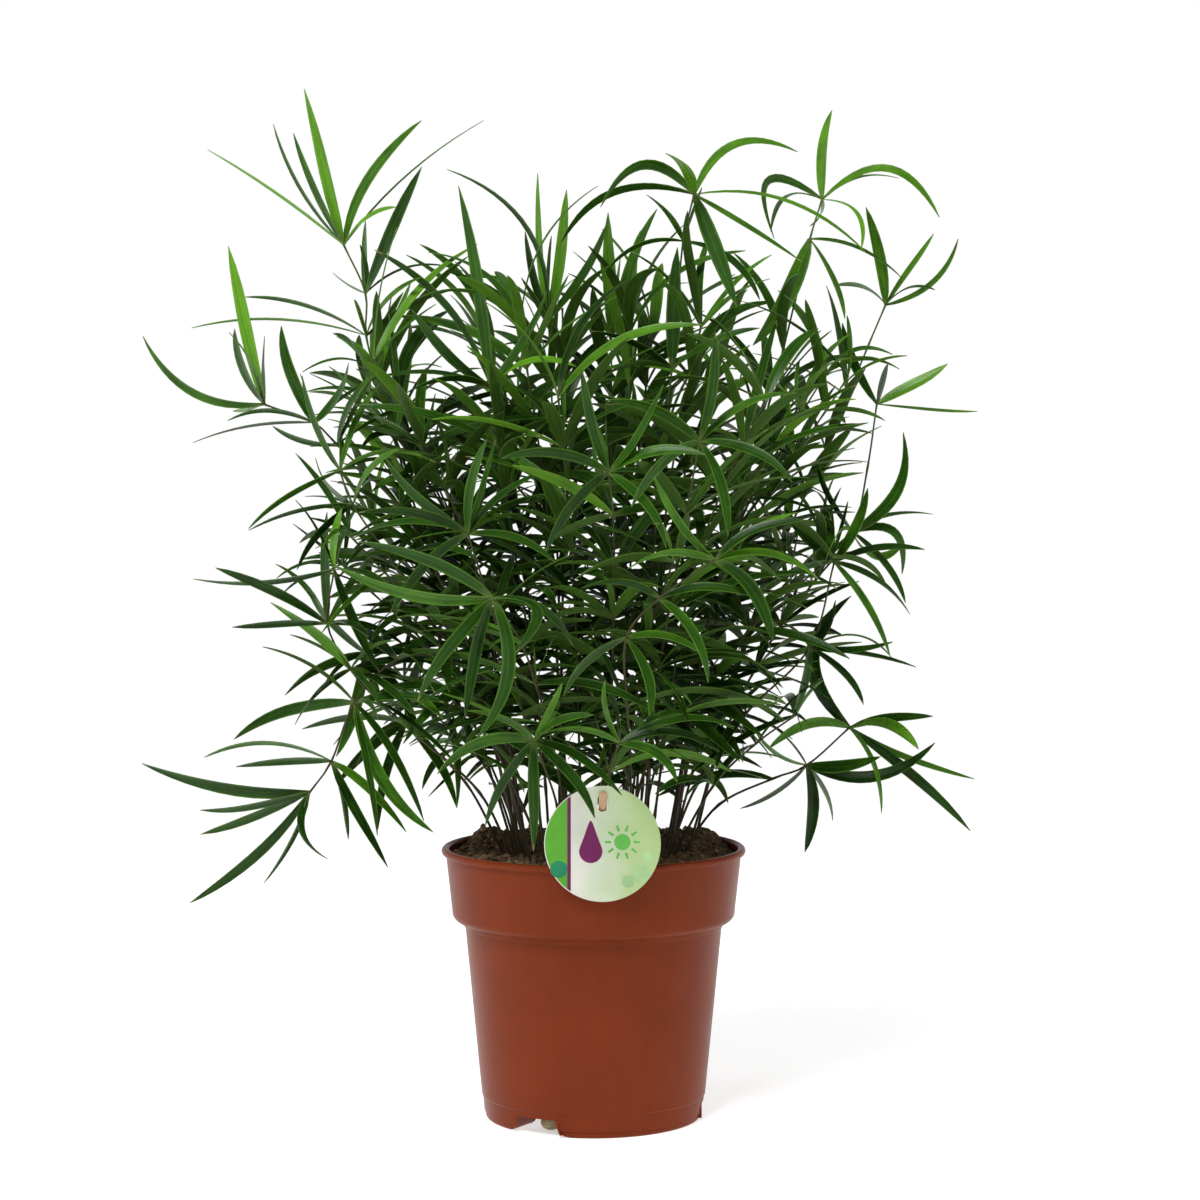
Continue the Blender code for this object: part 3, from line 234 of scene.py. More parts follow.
# Behind this depth, above this height, or this far beside the label, a leaf doesn't hide it
LABEL_VIEW = (-0.02, 0.215, 0.010)

# Heights and widths over which a finish changes
DUSTY_HEIGHTS = (0.128, 0.152)
STAIN_HEIGHTS = (0.160, 0.145)
STEM_GREENING = (0.15, 0.48)
CARD_FADE = (0.012, 0.062)
# the inks are painted lighter towards the top of the label and darker below, as if lit from above
INK_PAINTED_LIGHT_HEIGHTS = (0.0, 0.062)

# Tones of the finishes, past the colours that the properties hold
RIM_DUST = (0.045, 0.026, 0.015)
RED_PEAT = (0.20, 0.10, 0.045)
PEAT_SPECK = (0.26, 0.13, 0.060)
WET_WOOD = (0.08, 0.05, 0.03)
ROOT_OLIVE = (0.21, 0.16, 0.075)
ROOT_TONES = ((0.3, (0.075, 0.055, 0.026)), (0.5, (0.20, 0.155, 0.075)), (0.72, (0.33, 0.27, 0.14)))
ROOT_DIRT = (0.035, 0.024, 0.014)
CARD_TONES = ((0.35, (0.52, 0.59, 0.43)), (0.72, (0.38, 0.51, 0.23)), (1.0, (0.34, 0.48, 0.19)))
DEEP_INK = (0.012, 0.19, 0.085)
PALE_INK = (0.30, 0.46, 0.22)
SUN_INK = (0.085, 0.33, 0.055)
LEAF_MARGIN = (0.16, 0.34, 0.03)
LEAF_FOOT = (0.15, 0.20, 0.06)
LEAF_WITHERED = (0.24, 0.19, 0.085)
LEAF_BACK = (0.085, 0.16, 0.02)
LEAF_ROUGHNESS = (0.24, 0.38)
LEAF_BACK_ROUGHNESS = (0.50, 0.62)
STEM_TONES = ((0.45, (0.050, 0.055, 0.018)), (1.0, (0.055, 0.110, 0.022)))
STEM_SPECK = (0.085, 0.060, 0.030)
PALE = (0.86, 0.86, 0.86)
BLACK = (0.0, 0.0, 0.0)

# The stage: where the lights stand, their sizes and what they aim at
LIGHT_AIM = (0, 0, 0.3)
KEY_PLACE = (-0.7, -1.5, 2.3)
KEY_SIZE = (1.1, 0.8)
SIDE_PLACE = (2.2, -0.5, 0.8)
SIDE_SIZE = (1.2, 1.8)
SENSOR_WIDTH = 36

# The surroundings fade overhead between two heights of a direction, and behind the viewer between two
# depths. The floor glows with distance, so that it meets them without an edge.
SKY_FADE = (0.20, 0.34)
FRONT_FADE = (-0.95, -0.45)
FLOOR_FADE = (0.40, 2.0)
FLOOR_GLOW = 0.66


def length_setting(name, description, default, least=0.0):
    return FloatProperty(name=name, description=description, default=default, min=least, unit="LENGTH")


def count_setting(name, description, default, least=0):
    return IntProperty(name=name, description=description, default=default, min=least)


def share_setting(name, description, default):
    return FloatProperty(name=name, description=description, default=default, min=0, max=1, subtype="FACTOR")


def strength_setting(name, description, default):
    return FloatProperty(name=name, description=description, default=default, min=0)


def colour_setting(name, description, default):
    return FloatVectorProperty(
        name=name, description=description, default=default, min=0, max=1, subtype="COLOR"
    )


class PotSizes(bpy.types.PropertyGroup):
    wall: length_setting("Wall", "Thickness of the pot's wall", 0.0013, 0.0005)
    sides: count_setting("Sides", "Steps of the pot's round", 144, 24)
    colour: colour_setting("Plastic", "Colour of the pot's plastic", (0.155, 0.0260, 0.0062))


class SoilSizes(bpy.types.PropertyGroup):
    ring_gap: length_setting("Grain", "Distance between the points of the soil's surface", 0.0012, 0.0006)
    crumbs: count_setting("Crumbs", "Loose crumbs that lie on the soil", 1500)
    fibres: count_setting("Fibres", "Peat fibres and rootlets on the soil", 240)
    colour: colour_setting("Soil", "Colour of the damp soil", (0.115, 0.073, 0.039))
    fibre_colour: colour_setting("Fibre", "Colour of the peat fibres", (0.230, 0.100, 0.038))


class LabelSizes(bpy.types.PropertyGroup):
    print_height: length_setting("Ink", "How far a printed shape stands proud of the card", 0.00004, 0.00001)
    slot_width: length_setting("Slot width", "Width of the slot for the stake", 0.0052)
    slot_length: length_setting("Slot length", "Length of the slot for the stake", 0.0090)
    stake_radius: length_setting("Stake radius", "Half the wooden stake's thickness", 0.0017)
    card: colour_setting("Card", "Colour of the card's pale side", (0.66, 0.65, 0.59))
    panel: colour_setting("Panel", "Colour of the panel at the left", (0.082, 0.300, 0.024))
    stripe: colour_setting("Stripe", "Colour of the stripe and the drop", (0.125, 0.008, 0.072))
    wood: colour_setting("Wood", "Colour of the stake", (0.45, 0.30, 0.165))


class FoliageSizes(bpy.types.PropertyGroup):
    thickness: length_setting("Leaf thickness", "Thickness of a leaf", 0.00032, 0.0001)
    channel: share_setting(
        "Channel", "How deep a leaf is folded along its midrib, as a share of its half width", 0.24
    )
    infill: count_setting("Infill", "Slender leaves added to each whorl inside the crown", 3)
    # dark is for old leaves and painted shade low and deep in the crown, bright for young ones and painted
    # light
    dark: colour_setting("Dark leaf", "Colour of old leaves and of painted shade deep in the crown", (0.0042, 0.0165, 0.0020))
    middle: colour_setting("Leaf", "Colour of most leaves", (0.023, 0.082, 0.0055))
    bright: colour_setting("Bright leaf", "Colour of young leaves and of painted light high up and outside", (0.125, 0.335, 0.014))
    stem: colour_setting("Stem", "Colour of a stem near the soil", (0.036, 0.024, 0.012))


class StageSettings(bpy.types.PropertyGroup):
    camera_place: FloatVectorProperty(
        name="Camera", description="Where the camera stands", subtype="TRANSLATION", unit="LENGTH",
        default=(0.0132, -1.6511, 0.378),
    )
    camera_pitch: FloatProperty(
        name="Pitch", description="How far the camera looks down", default=math.radians(3.03), unit="ROTATION"
    )
    lens: strength_setting("Lens", "Focal length in millimetres", 90.0)
    floor_radius: length_setting("Floor radius", "Radius of the pale floor", 14.0)
    horizon: strength_setting("Horizon", "Strength of the white surroundings low down", 1.0)
    sky: strength_setting("Overhead", "Strength of the white surroundings overhead", 0.22)
    behind_viewer: share_setting(
        "Behind the viewer", "Share of the horizon's light that comes from behind the viewer", 0.6
    )
    key: strength_setting("Key light", "Power of the light above the viewer", 62.0)
    side: strength_setting("Side lights", "Power of the light at each side", 10.0)


class Nodes:
    """A node tree, with short calls that add nodes to it."""

    def __init__(self, tree):
        self.tree = tree

    def connect(self, socket, value):
        """Links a socket to an output, or gives it a value. A colour may leave out its alpha."""
        if isinstance(value, bpy.types.NodeSocket):
            self.tree.links.new(value, socket)
        elif socket.type == "RGBA" and len(value) == 3:
            socket.default_value = (*value, 1)
        else:
            socket.default_value = value

    def add(self, kind, inputs=(), **settings):
        """A new node with its settings, and with a link or a value for each of its inputs that is named."""
        node = self.tree.nodes.new(kind)
        for key, value in settings.items():
            setattr(node, key, value)
        for key, value in dict(inputs).items():
            self.connect(node.inputs[key], value)
        return node

    def axis(self, place, letter):
        return self.add("ShaderNodeSeparateXYZ", {0: place}).outputs[letter]

    def maths(self, operation, first, second=0.0):
        return self.add("ShaderNodeMath", {0: first, 1: second}, operation=operation).outputs[0]

    def times(self, first, second):
        return self.maths("MULTIPLY", first, second)

    def plus(self, first, second):
        return self.maths("ADD", first, second)

    def spread(self, value, low, high, to_low=0.0, to_high=1.0):
        """The value moved from one range to another, and kept inside it."""
        inputs = {"Value": value, "From Min": low, "From Max": high, "To Min": to_low, "To Max": to_high}
        return self.add("ShaderNodeMapRange", inputs).outputs[0]


class Finish(Nodes):
    """A material, with short calls for its patterns and its surface."""

    def __init__(self, name, roughness, colour, shine):
        self.material = bpy.data.materials.new(name)
        self.material.use_nodes = True
        self.material.diffuse_color = (*colour, 1)
        super().__init__(self.material.node_tree)
        self.surface = self.tree.nodes["Principled BSDF"]
        looks = (("Roughness", roughness), ("Specular IOR Level", shine), ("Base Color", colour))
        for socket, value in looks:
            self.feed(socket, value)

    def feed(self, socket, value):
        self.connect(self.surface.inputs[socket], value)

    def place(self, scale=(1, 1, 1), turn=(0, 0, 0), about=(0, 0, 0)):
        """Object coordinates, measured from a point, turned and stretched."""
        coordinates = self.add("ShaderNodeTexCoord").outputs["Object"]
        centred = self.add("ShaderNodeVectorMath", {0: coordinates, 1: tuple(about)}, operation="SUBTRACT")
        inputs = {"Vector": centred.outputs[0], "Scale": scale, "Rotation": turn}
        return self.add("ShaderNodeMapping", inputs).outputs[0]

    def noise(self, place, scale, detail=3.0, roughness=0.5):
        inputs = {"Vector": place, "Scale": scale, "Detail": detail, "Roughness": roughness}
        return self.add("ShaderNodeTexNoise", inputs).outputs["Fac"]

    def ramp(self, value, *stops):
        """Colours along a value, each stop a share and a colour."""
        node = self.add("ShaderNodeValToRGB", {"Fac": value})
        while len(node.color_ramp.elements) < len(stops):
            node.color_ramp.elements.new(0.5)
        for element, (share, colour) in zip(node.color_ramp.elements, stops):
            element.position = share
            element.color = (*colour, 1)
        return node.outputs["Color"]

    def mix(self, share, first, second):
        """Two colours mixed by a share, which is a number or an output."""
        return self.add("ShaderNodeMix", {0: share, 6: first, 7: second}, data_type="RGBA").outputs[2]

    def laid_over(self, base, colour, mask, strength):
        """The base with a colour over it where the mask is."""
        return self.mix(self.times(mask, strength), base, colour)

    def coat(self, colour, roughness, height, distance, strength=1.0):
        """Feeds a colour, a roughness and a fine relief to the surface, and returns the material."""
        relief = self.add("ShaderNodeBump", {"Height": height, "Distance": distance, "Strength": strength})
        looks = (("Base Color", colour), ("Roughness", roughness), ("Normal", relief.outputs[0]))
        for socket, value in looks:
            self.feed(socket, value)
        return self.material


def shaded(colour, share):
    """The colour made darker or lighter by a factor."""
    return tuple(min(1.0, part * share) for part in colour)


def between(value, low, high):
    """How far a value lies between two others, from 0 to 1."""
    return min(1.0, max(0.0, (value - low) / (high - low)))


def add_piece(name, bm, materials, nodes=(), smooth_angle=math.radians(40)):
    """Writes the bmesh to a piece that rides on the plant, takes a slot's finish and stands for CAD nodes."""
    mesh = bpy.data.meshes.new(name)
    bm.to_mesh(mesh)
    bm.free()
    for material in materials:
        mesh.materials.append(material)
    mesh.shade_smooth()
    mesh.set_sharp_from_angle(angle=smooth_angle)
    piece = bpy.data.objects.new(name, mesh)
    bpy.context.scene.collection.objects.link(piece)
    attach(piece, BODY)
    if nodes:
        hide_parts(*nodes)


def add_helper(bm):
    """An object that holds the bmesh for a while."""
    helper = bpy.data.objects.new("helper", bpy.data.meshes.new("helper"))
    bm.to_mesh(helper.data)
    bm.free()
    bpy.context.scene.collection.objects.link(helper)
    return helper


def cut_and_join(bm, tools):
    """Adds each tool's solids to the bmesh or cuts them out of it, and returns the new bmesh."""
    base = add_helper(bm)
    helpers = [base]
    for tool, operation in tools:
        boolean = base.modifiers.new("boolean", "BOOLEAN")
        boolean.operation = operation
        boolean.object = add_helper(tool)
        helpers.append(boolean.object)
    graph = bpy.context.evaluated_depsgraph_get()
    made = bmesh.new()
    made.from_mesh(base.evaluated_get(graph).to_mesh())
    for helper in helpers:
        bpy.data.objects.remove(helper)
    return made


def append_part(whole, part):
    """Moves everything of a small bmesh into a larger one."""
    mesh = bpy.data.meshes.new("part")
    part.to_mesh(mesh)
    part.free()
    whole.from_mesh(mesh)
    bpy.data.meshes.remove(mesh)


def put(bm, verts, turn, place=(0, 0, 0)):
    """Turns vertices about the origin, and then moves them."""
    bmesh.ops.rotate(bm, verts=verts, cent=(0, 0, 0), matrix=turn)
    bmesh.ops.translate(bm, verts=verts, vec=place)


def extrude(bm, faces, way):
    """Extrudes faces so that both ends are closed, and returns the vertices that moved."""
    grown = bmesh.ops.extrude_face_region(bm, geom=faces, use_keep_orig=True)["geom"]
    moved = [item for item in grown if isinstance(item, bmesh.types.BMVert)]
    bmesh.ops.translate(bm, verts=moved, vec=way)
    return moved


def arc(centre, radius, start, end, steps):
    """Points on an arc of a profile, as (radius, height), from one angle in degrees to another."""
    points = []
    for step in range(steps + 1):
        angle = math.radians(start + (end - start) * step / steps)
        points.append((centre[0] + radius * math.cos(angle), centre[1] + radius * math.sin(angle)))
    return points


def turned(profile, sides):
    """A closed profile of (radius, height) points turned about Z."""
    bm = bmesh.new()
    verts = [bm.verts.new((radius, 0, height)) for radius, height in profile]
    edges = [bm.edges.new((vert, verts[i - 1])) for i, vert in enumerate(verts)]
    bmesh.ops.spin(
        bm, geom=verts + edges, axis=(0, 0, 1), cent=(0, 0, 0), angle=math.tau, steps=sides, use_merge=True
    )
    bmesh.ops.remove_doubles(bm, verts=bm.verts, dist=1e-6)
    bmesh.ops.dissolve_degenerate(bm, edges=bm.edges, dist=1e-6)
    bmesh.ops.recalc_face_normals(bm, faces=bm.faces)
    return bm


def smooth_path(points, spacing):
    """Points on a smooth curve through the given ones, about the given distance apart."""
    ends = [2 * points[0] - points[1]] + points + [2 * points[-1] - points[-2]]
    path = []
    for before, start, end, after in zip(ends, ends[1:], ends[2:], ends[3:]):
        steps = max(1, round((end - start).length / spacing))
        for step in range(steps):
            t = step / steps
            path.append(
                0.5 * (2 * start + (end - before) * t + (2 * before - 5 * start + 4 * end - after) * t**2
                       + (3 * start - 3 * end + after - before) * t**3)
            )
    path.append(points[-1].copy())
    return path


def add_tube(bm, path, radii, sides):
    """A closed round tube along a path, with a radius at each of its points. Returns its faces."""
    across = Vector((1, 0, 0))
    loops = []
    for i, point in enumerate(path):
        along = (path[min(i + 1, len(path) - 1)] - path[max(i - 1, 0)]).normalized()
        across = (across - along * across.dot(along)).normalized()
        ring = bmesh.ops.create_circle(bm, segments=sides, radius=radii[i])["verts"]
        put(bm, ring, Matrix((across, along.cross(across), along)).transposed(), point)
        loops.append(list({edge for vert in ring for edge in vert.link_edges}))
    faces = []
    for near, far in zip(loops, loops[1:]):
        faces += bmesh.ops.bridge_loops(bm, edges=near + far)["faces"]
    for end in (loops[0], loops[-1]):
        faces += bmesh.ops.contextual_create(bm, geom=end)["faces"]
    bmesh.ops.recalc_face_normals(bm, faces=faces)
    return faces


def plastic(colour):
    """Moulded terracotta-coloured plastic: satin, faintly mottled, scuffed in places and dusty at the rim."""
    finish = Finish("terracotta_plastic", 0.34, colour, shine=0.08)
    place = finish.place(about=POT_AXIS)
    mottle = finish.noise(place, scale=26, detail=4)
    flow = finish.noise(finish.place(scale=(1, 1, 0.12), about=POT_AXIS), scale=95)
    base = finish.ramp(
        finish.plus(finish.times(mottle, 0.7), finish.times(flow, 0.3)),
        (0.30, shaded(colour, 0.86)), (0.52, colour), (0.74, shaded(colour, 1.12)),
    )
    near_rim = finish.spread(finish.axis(place, "Z"), *DUSTY_HEIGHTS)
    dust = finish.spread(finish.noise(place, scale=260, detail=4, roughness=0.7), 0.60, 0.72)
    dust = finish.times(dust, near_rim)
    upright_place = finish.place(scale=(1, 1, 0.3), about=POT_AXIS)
    scuff = finish.spread(finish.noise(upright_place, scale=48, detail=5, roughness=0.65), 0.62, 0.80)
    base = finish.laid_over(base, shaded(colour, 1.7), scuff, strength=0.22)
    base = finish.laid_over(base, RIM_DUST, dust, strength=0.55)
    wear = finish.plus(finish.times(scuff, 0.16), finish.times(dust, 0.4))
    roughness = finish.plus(finish.spread(mottle, 0.3, 0.7, 0.29, 0.38), wear)
    peel = finish.plus(finish.noise(place, scale=1100, detail=2), finish.times(mottle, 3.0))
    return finish.coat(base, roughness, peel, distance=0.00006)


def earth(name, colour, crumb_scale):
    """Damp potting soil: dark, with browner crumbs and specks of peat."""
    finish = Finish(name, 0.92, colour, shine=0.25)
    place = finish.place(about=POT_AXIS)
    clods = finish.noise(place, crumb_scale, detail=6, roughness=0.65)
    base = finish.ramp(
        clods, (0.30, shaded(colour, 0.35)), (0.50, colour), (0.64, shaded(colour, 2.0)), (0.78, RED_PEAT)
    )
    specks = finish.spread(finish.noise(place, crumb_scale * 5, detail=2), 0.66, 0.72)
    base = finish.laid_over(base, PEAT_SPECK, specks, strength=0.6)
    crumbs = finish.noise(place, crumb_scale * 3, detail=5, roughness=0.7)
    return finish.coat(base, finish.spread(clods, 0.3, 0.7, 0.98, 0.80), crumbs, distance=0.0006)


def fibre(colour):
    """Peat fibres, from orange brown to straw."""
    finish = Finish("peat_fibre", 0.75, colour, shine=0.3)
    tint = finish.noise(finish.place(about=POT_AXIS), scale=60, detail=2)
    base = finish.ramp(tint, (0.3, shaded(colour, 0.6)), (0.6, colour), (0.75, shaded(colour, 2.0)))
    threads = finish.noise(finish.place(), scale=2500, detail=2)
    return finish.coat(base, finish.spread(tint, 0.3, 0.7, 0.70, 0.80), threads, distance=0.0001)


def pale_wood(colour):
    """Split pale wood with its grain along the stake."""
    finish = Finish("pale_wood", 0.62, colour, shine=0.3)
    lean = (STAKE_SLOT - STAKE_FOOT).to_track_quat("Z", "Y").inverted().to_euler()
    place = finish.place(scale=(1, 1, 0.06), turn=tuple(lean), about=POT_AXIS + STAKE_FOOT)
    grain = finish.noise(place, scale=900)
    base = finish.ramp(grain, (0.32, shaded(colour, 0.78)), (0.5, colour), (0.7, shaded(colour, 1.12)))
    stain = finish.spread(finish.axis(finish.place(), "Z"), *STAIN_HEIGHTS)
    base = finish.laid_over(base, WET_WOOD, stain, strength=0.7)
    return finish.coat(base, finish.spread(grain, 0.3, 0.7, 0.72, 0.55), grain, distance=0.00005)


def root_skin():
    """The olive-brown skin of a swollen root, ringed and streaked with soil."""
    finish = Finish("root_skin", 0.7, ROOT_OLIVE, shine=0.35)
    rings = finish.noise(finish.place(scale=(0.3, 0.3, 1.6)), scale=420, roughness=0.6)
    dirt = finish.spread(finish.noise(finish.place(), scale=330, detail=5, roughness=0.7), 0.52, 0.66)
    base = finish.laid_over(finish.ramp(rings, *ROOT_TONES), ROOT_DIRT, dirt, strength=0.75)
    roughness = finish.spread(dirt, 0, 1, 0.58, 0.92)
    return finish.coat(base, roughness, finish.plus(rings, dirt), distance=0.00035)


def card_stock(sizes):
    """Coated card: whitish beside the stripe and pale green towards the right edge, with faint grain."""
    finish = Finish("printed_card", 0.34, tuple(sizes.card), shine=0.5)
    place = finish.place(about=LABEL_LOW)
    cloud = finish.spread(finish.noise(place, scale=70, detail=2), 0.3, 0.7, -0.10, 0.10)
    across = finish.plus(finish.spread(finish.axis(place, "X"), *CARD_FADE), cloud)
    base = finish.ramp(across, (0.0, tuple(sizes.card)), *CARD_TONES)
    grain = finish.noise(place, scale=2600, detail=2)
    return finish.coat(base, finish.spread(grain, 0.3, 0.7, 0.30, 0.40), grain, distance=0.00001)


def ink(name, colour):
    """Printing ink with painted light: a little lighter towards the top of the label, darker lower down."""
    finish = Finish(name, 0.36, colour, shine=0.25)
    place = finish.place(about=LABEL_LOW)
    # painted light: the ink is lighter towards the top of the label and darker lower down
    rise = finish.spread(finish.axis(place, "Z"), *INK_PAINTED_LIGHT_HEIGHTS, 0.0, 0.85)
    tone = finish.plus(rise, finish.noise(place, scale=120, detail=2))
    base = finish.ramp(tone, (0.35, shaded(colour, 0.88)), (1.0, shaded(colour, 1.25)))
    grain = finish.noise(place, scale=2600, detail=2)
    return finish.coat(base, finish.spread(grain, 0.3, 0.7, 0.32, 0.42), grain, distance=0.00001)


def leaf_skin(name, sizes, underside):
    """A strap leaf's skin: veins, a paler midrib and margins, and a tone from age and painted light and shade.
    """
    finish = Finish(name, 0.34, tuple(sizes.middle), shine=0.14)
    tone = finish.add("ShaderNodeAttribute", attribute_name="leaf_tone").outputs["Color"]
    age_and_light, dry, chance = finish.add("ShaderNodeSeparateColor", {0: tone}).outputs
    blade = finish.add("ShaderNodeUVMap", uv_map="blade").outputs[0]
    across, along = finish.axis(blade, "X"), finish.axis(blade, "Y")
    off_middle = finish.times(finish.maths("ABSOLUTE", finish.plus(across, -0.5)), 2.0)

    def pattern(crossways, lengthways, shuffle, **settings):
        """Noise on the blade, stretched either way and different on each leaf."""
        parts = ((across, crossways), (along, lengthways), (chance, shuffle))
        place = finish.add("ShaderNodeCombineXYZ", {i: finish.times(*part) for i, part in enumerate(parts)})
        return finish.noise(place.outputs[0], **settings)

    veins = pattern(5.0, 0.8, 40.0, scale=1.6, detail=1.5)
    blotches = pattern(1.0, 5.0, 90.0, scale=1.0)
    age_and_light = finish.plus(age_and_light, finish.spread(blotches, 0.3, 0.7, -0.10, 0.10))
    # painted light and shade: the ramp runs from dark for old and shaded leaves to bright for young and lit
    # ones
    base = finish.ramp(age_and_light, (0.0, tuple(sizes.dark)), (0.5, tuple(sizes.middle)), (1.0, tuple(sizes.bright)))
    base = finish.mix(finish.spread(veins, 0.35, 0.70, 0.0, 0.40), base, shaded(sizes.middle, 0.30))
    rib = finish.spread(off_middle, 0.13, 0.03)
    edge = finish.spread(off_middle, 0.72, 0.92)
    lighter = finish.maths("MAXIMUM", finish.times(rib, 0.35), finish.times(edge, 0.85))
    pale = finish.mix(0.38, base, LEAF_MARGIN)
    base = finish.laid_over(base, pale, lighter, strength=finish.spread(age_and_light, 0.0, 0.5, 0.35, 1.0))
    base = finish.laid_over(base, LEAF_FOOT, finish.spread(along, 0.10, 0.0), strength=0.5)
    base = finish.laid_over(base, LEAF_WITHERED, finish.spread(along, 0.93, 1.0), strength=dry)
    if underside:
        base = finish.mix(0.30, base, LEAF_BACK)
    roughness = finish.spread(veins, 0.3, 0.7, *(LEAF_BACK_ROUGHNESS if underside else LEAF_ROUGHNESS))
    ridges = finish.plus(veins, finish.times(rib, -0.8))
    return finish.coat(base, roughness, ridges, distance=0.00012, strength=0.35)


def stem_skin(sizes):
    """A wiry stem: dark brown near the soil, brownish green above it, speckled."""
    finish = Finish("stem_skin", 0.5, tuple(sizes.stem), shine=0.15)
    place = finish.place()
    cloud = finish.spread(finish.noise(place, scale=40), 0.3, 0.7, -0.2, 0.2)
    rise = finish.plus(finish.spread(finish.axis(place, "Z"), *STEM_GREENING), cloud)
    specks = finish.spread(finish.noise(place, scale=1500), 0.56, 0.66)
    base = finish.ramp(rise, (0.0, tuple(sizes.stem)), *STEM_TONES)
    base = finish.laid_over(base, STEM_SPECK, specks, strength=0.4)
    ridges = finish.noise(finish.place(scale=(1, 1, 0.3)), scale=2200, detail=2)
    return finish.coat(base, finish.spread(specks, 0, 1, 0.45, 0.68), ridges, distance=0.00012)


def add_cylinder(bm, radius, length, sides):
    """A closed cylinder along Z about the origin. Returns its vertices."""
    return bmesh.ops.create_cone(
        bm, cap_ends=True, segments=sides, radius1=radius, radius2=radius, depth=length
    )["verts"]


def pot_profile(wall):
    """The pot's whole section, from the bead round the outside and the floor to the inner wall."""
    rim_radius = (POT_HIGH.x - POT_LOW.x) / 2
    bead = (rim_radius - BEAD_RADIUS, POT_HIGH.z - BEAD_RADIUS)
    band_corner = (BAND_FOOT[0] - BAND_CORNER, BAND_FOOT[1])
    foot_corner = (FOOT_LIP[1][0] - FOOT_CORNER, FOOT_CORNER)
    recess = (BODY_TOP[0] + BODY_FILLET, BODY_TOP[1] - BODY_FILLET)
    return (
        arc(bead, BEAD_RADIUS, 180, -40, 14)
        + [(BAND_TOP[0] + out, BAND_TOP[1] + up) for out, up in UNDER_BEAD]
        + arc(band_corner, BAND_CORNER, 4, -80, 9)
        + [(BODY_TOP[0] + UNDER_BAND[0], BAND_FOOT[1] - BAND_CORNER + UNDER_BAND[1])]
        + arc(recess, BODY_FILLET, 90, 180, 3)
        + [BODY_FOOT, FOOT_TOP, *FOOT_LIP]
        + arc(foot_corner, FOOT_CORNER, 0, -90, 6)
        + [(FOOT_INNER_RADIUS, 0), (FOOT_INNER_RADIUS - wall - RAISED_SLOPE, RAISED_FLOOR), (0, RAISED_FLOOR)]
        + pot_inner_wall(wall)
    )


def pot_inner_wall(wall):
    """The inner section of the pot, from the middle of its floor to the bead."""
    return [
        (0, RAISED_FLOOR + wall),
        (FOOT_INNER_RADIUS - RAISED_SLOPE, RAISED_FLOOR + wall),
        (FOOT_INNER_RADIUS + wall, wall),
        (FOOT_RADIUS - wall, wall),
        (BODY_FOOT[0] - wall, BODY_FOOT[1]),
        (BODY_TOP[0] - wall, BODY_TOP[1] + wall),
        (BAND_FOOT[0] - wall, BAND_FOOT[1] + wall),
        (BAND_TOP[0] - wall, BAND_TOP[1]),
    ]


def add_channel(bm, half_outline, near, far, angle):
    """Extrudes a water channel's outline along a radius of the pot, between two distances from its axis."""
    outline = list(half_outline) + [(-half, height) for half, height in reversed(half_outline)]
    verts = [bm.verts.new((near, half, height)) for half, height in outline]
    verts += extrude(bm, [bm.faces.new(verts)], (far - near, 0, 0))
    put(bm, verts, Quaternion((0, 0, 1), math.radians(angle)).to_matrix())
    sides = {side for vert in verts for side in vert.link_faces}
    bmesh.ops.recalc_face_normals(bm, faces=list(sides))


def add_drain_hole(bm, hole, angle):
    """A drill for a hole of the floor, at an angle in degrees round the pot's axis."""
    ring_radius, radius = hole
    turn = math.radians(angle)
    centre = (ring_radius * math.cos(turn), ring_radius * math.sin(turn), RAISED_FLOOR)
    bmesh.ops.translate(bm, verts=add_cylinder(bm, radius, DRILL_LENGTH, 28), vec=centre)


def make_pot(sizes):
    """The moulded pot, with its water channels and the holes in its floor."""
    walls, channels, holes = bmesh.new(), bmesh.new(), bmesh.new()
    wall = sizes.wall
    channel_walls = (
        (CHANNEL_HALF_OUTLINE[0][0] + wall, CHANNEL_HALF_OUTLINE[0][1] + wall - CHANNEL_ROOF_DROP),
        (CHANNEL_WALL_FOOT[0] + wall, CHANNEL_WALL_FOOT[1]),
    )
    outer_end = CHANNEL_REACH * FOOT_RADIUS
    for angle in CHANNEL_ANGLES:
        add_channel(walls, channel_walls, FOOT_INNER_RADIUS - wall / 2, FOOT_RADIUS - wall / 2, angle)
        add_channel(channels, CHANNEL_HALF_OUTLINE, FOOT_INNER_RADIUS - 3 * wall, outer_end, angle)
        add_drain_hole(holes, CHANNEL_HOLE, angle + CHANNEL_HOLE_TURN)
    for angle in FLOOR_HOLE_ANGLES:
        add_drain_hole(holes, FLOOR_HOLE, angle)
    add_drain_hole(holes, (0, FLOOR_HOLE[1]), 0)
    tools = [(walls, "UNION"), (channels, "DIFFERENCE"), (holes, "DIFFERENCE")]
    pot = cut_and_join(turned(pot_profile(wall), sizes.sides), tools)
    bmesh.ops.translate(pot, verts=pot.verts, vec=POT_AXIS)
    material = plastic(tuple(sizes.colour))
    add_piece("nursery_pot", pot, [material], ["pot"], math.radians(28))


def soil_top(x, y):
    """The soil's height about the pot's axis: swell, heaps, clods and grit over the loose layer."""
    place = Vector((x, y, 0))
    swell, coarse, fine = SOIL_SWELL
    height = SOIL_LEVEL + LOOSE_LAYER
    height += swell * (noise.noise(place / coarse) + FINE_SWELL * noise.noise(Vector((x, y, 0.5)) / fine))
    for lump_x, lump_y, lump in SOIL_LUMPS:
        apart = math.hypot(x - lump_x, y - lump_y) / SOIL_LUMP_RADIUS
        height += lump * math.exp(-apart * apart)
    height += CLODS[1] * (CLOD_LEVEL - noise.voronoi(place / CLODS[0])[0][0])
    return height + GRIT[1] * noise.fractal(place / GRIT[0], 0.8, 2.1, 4)


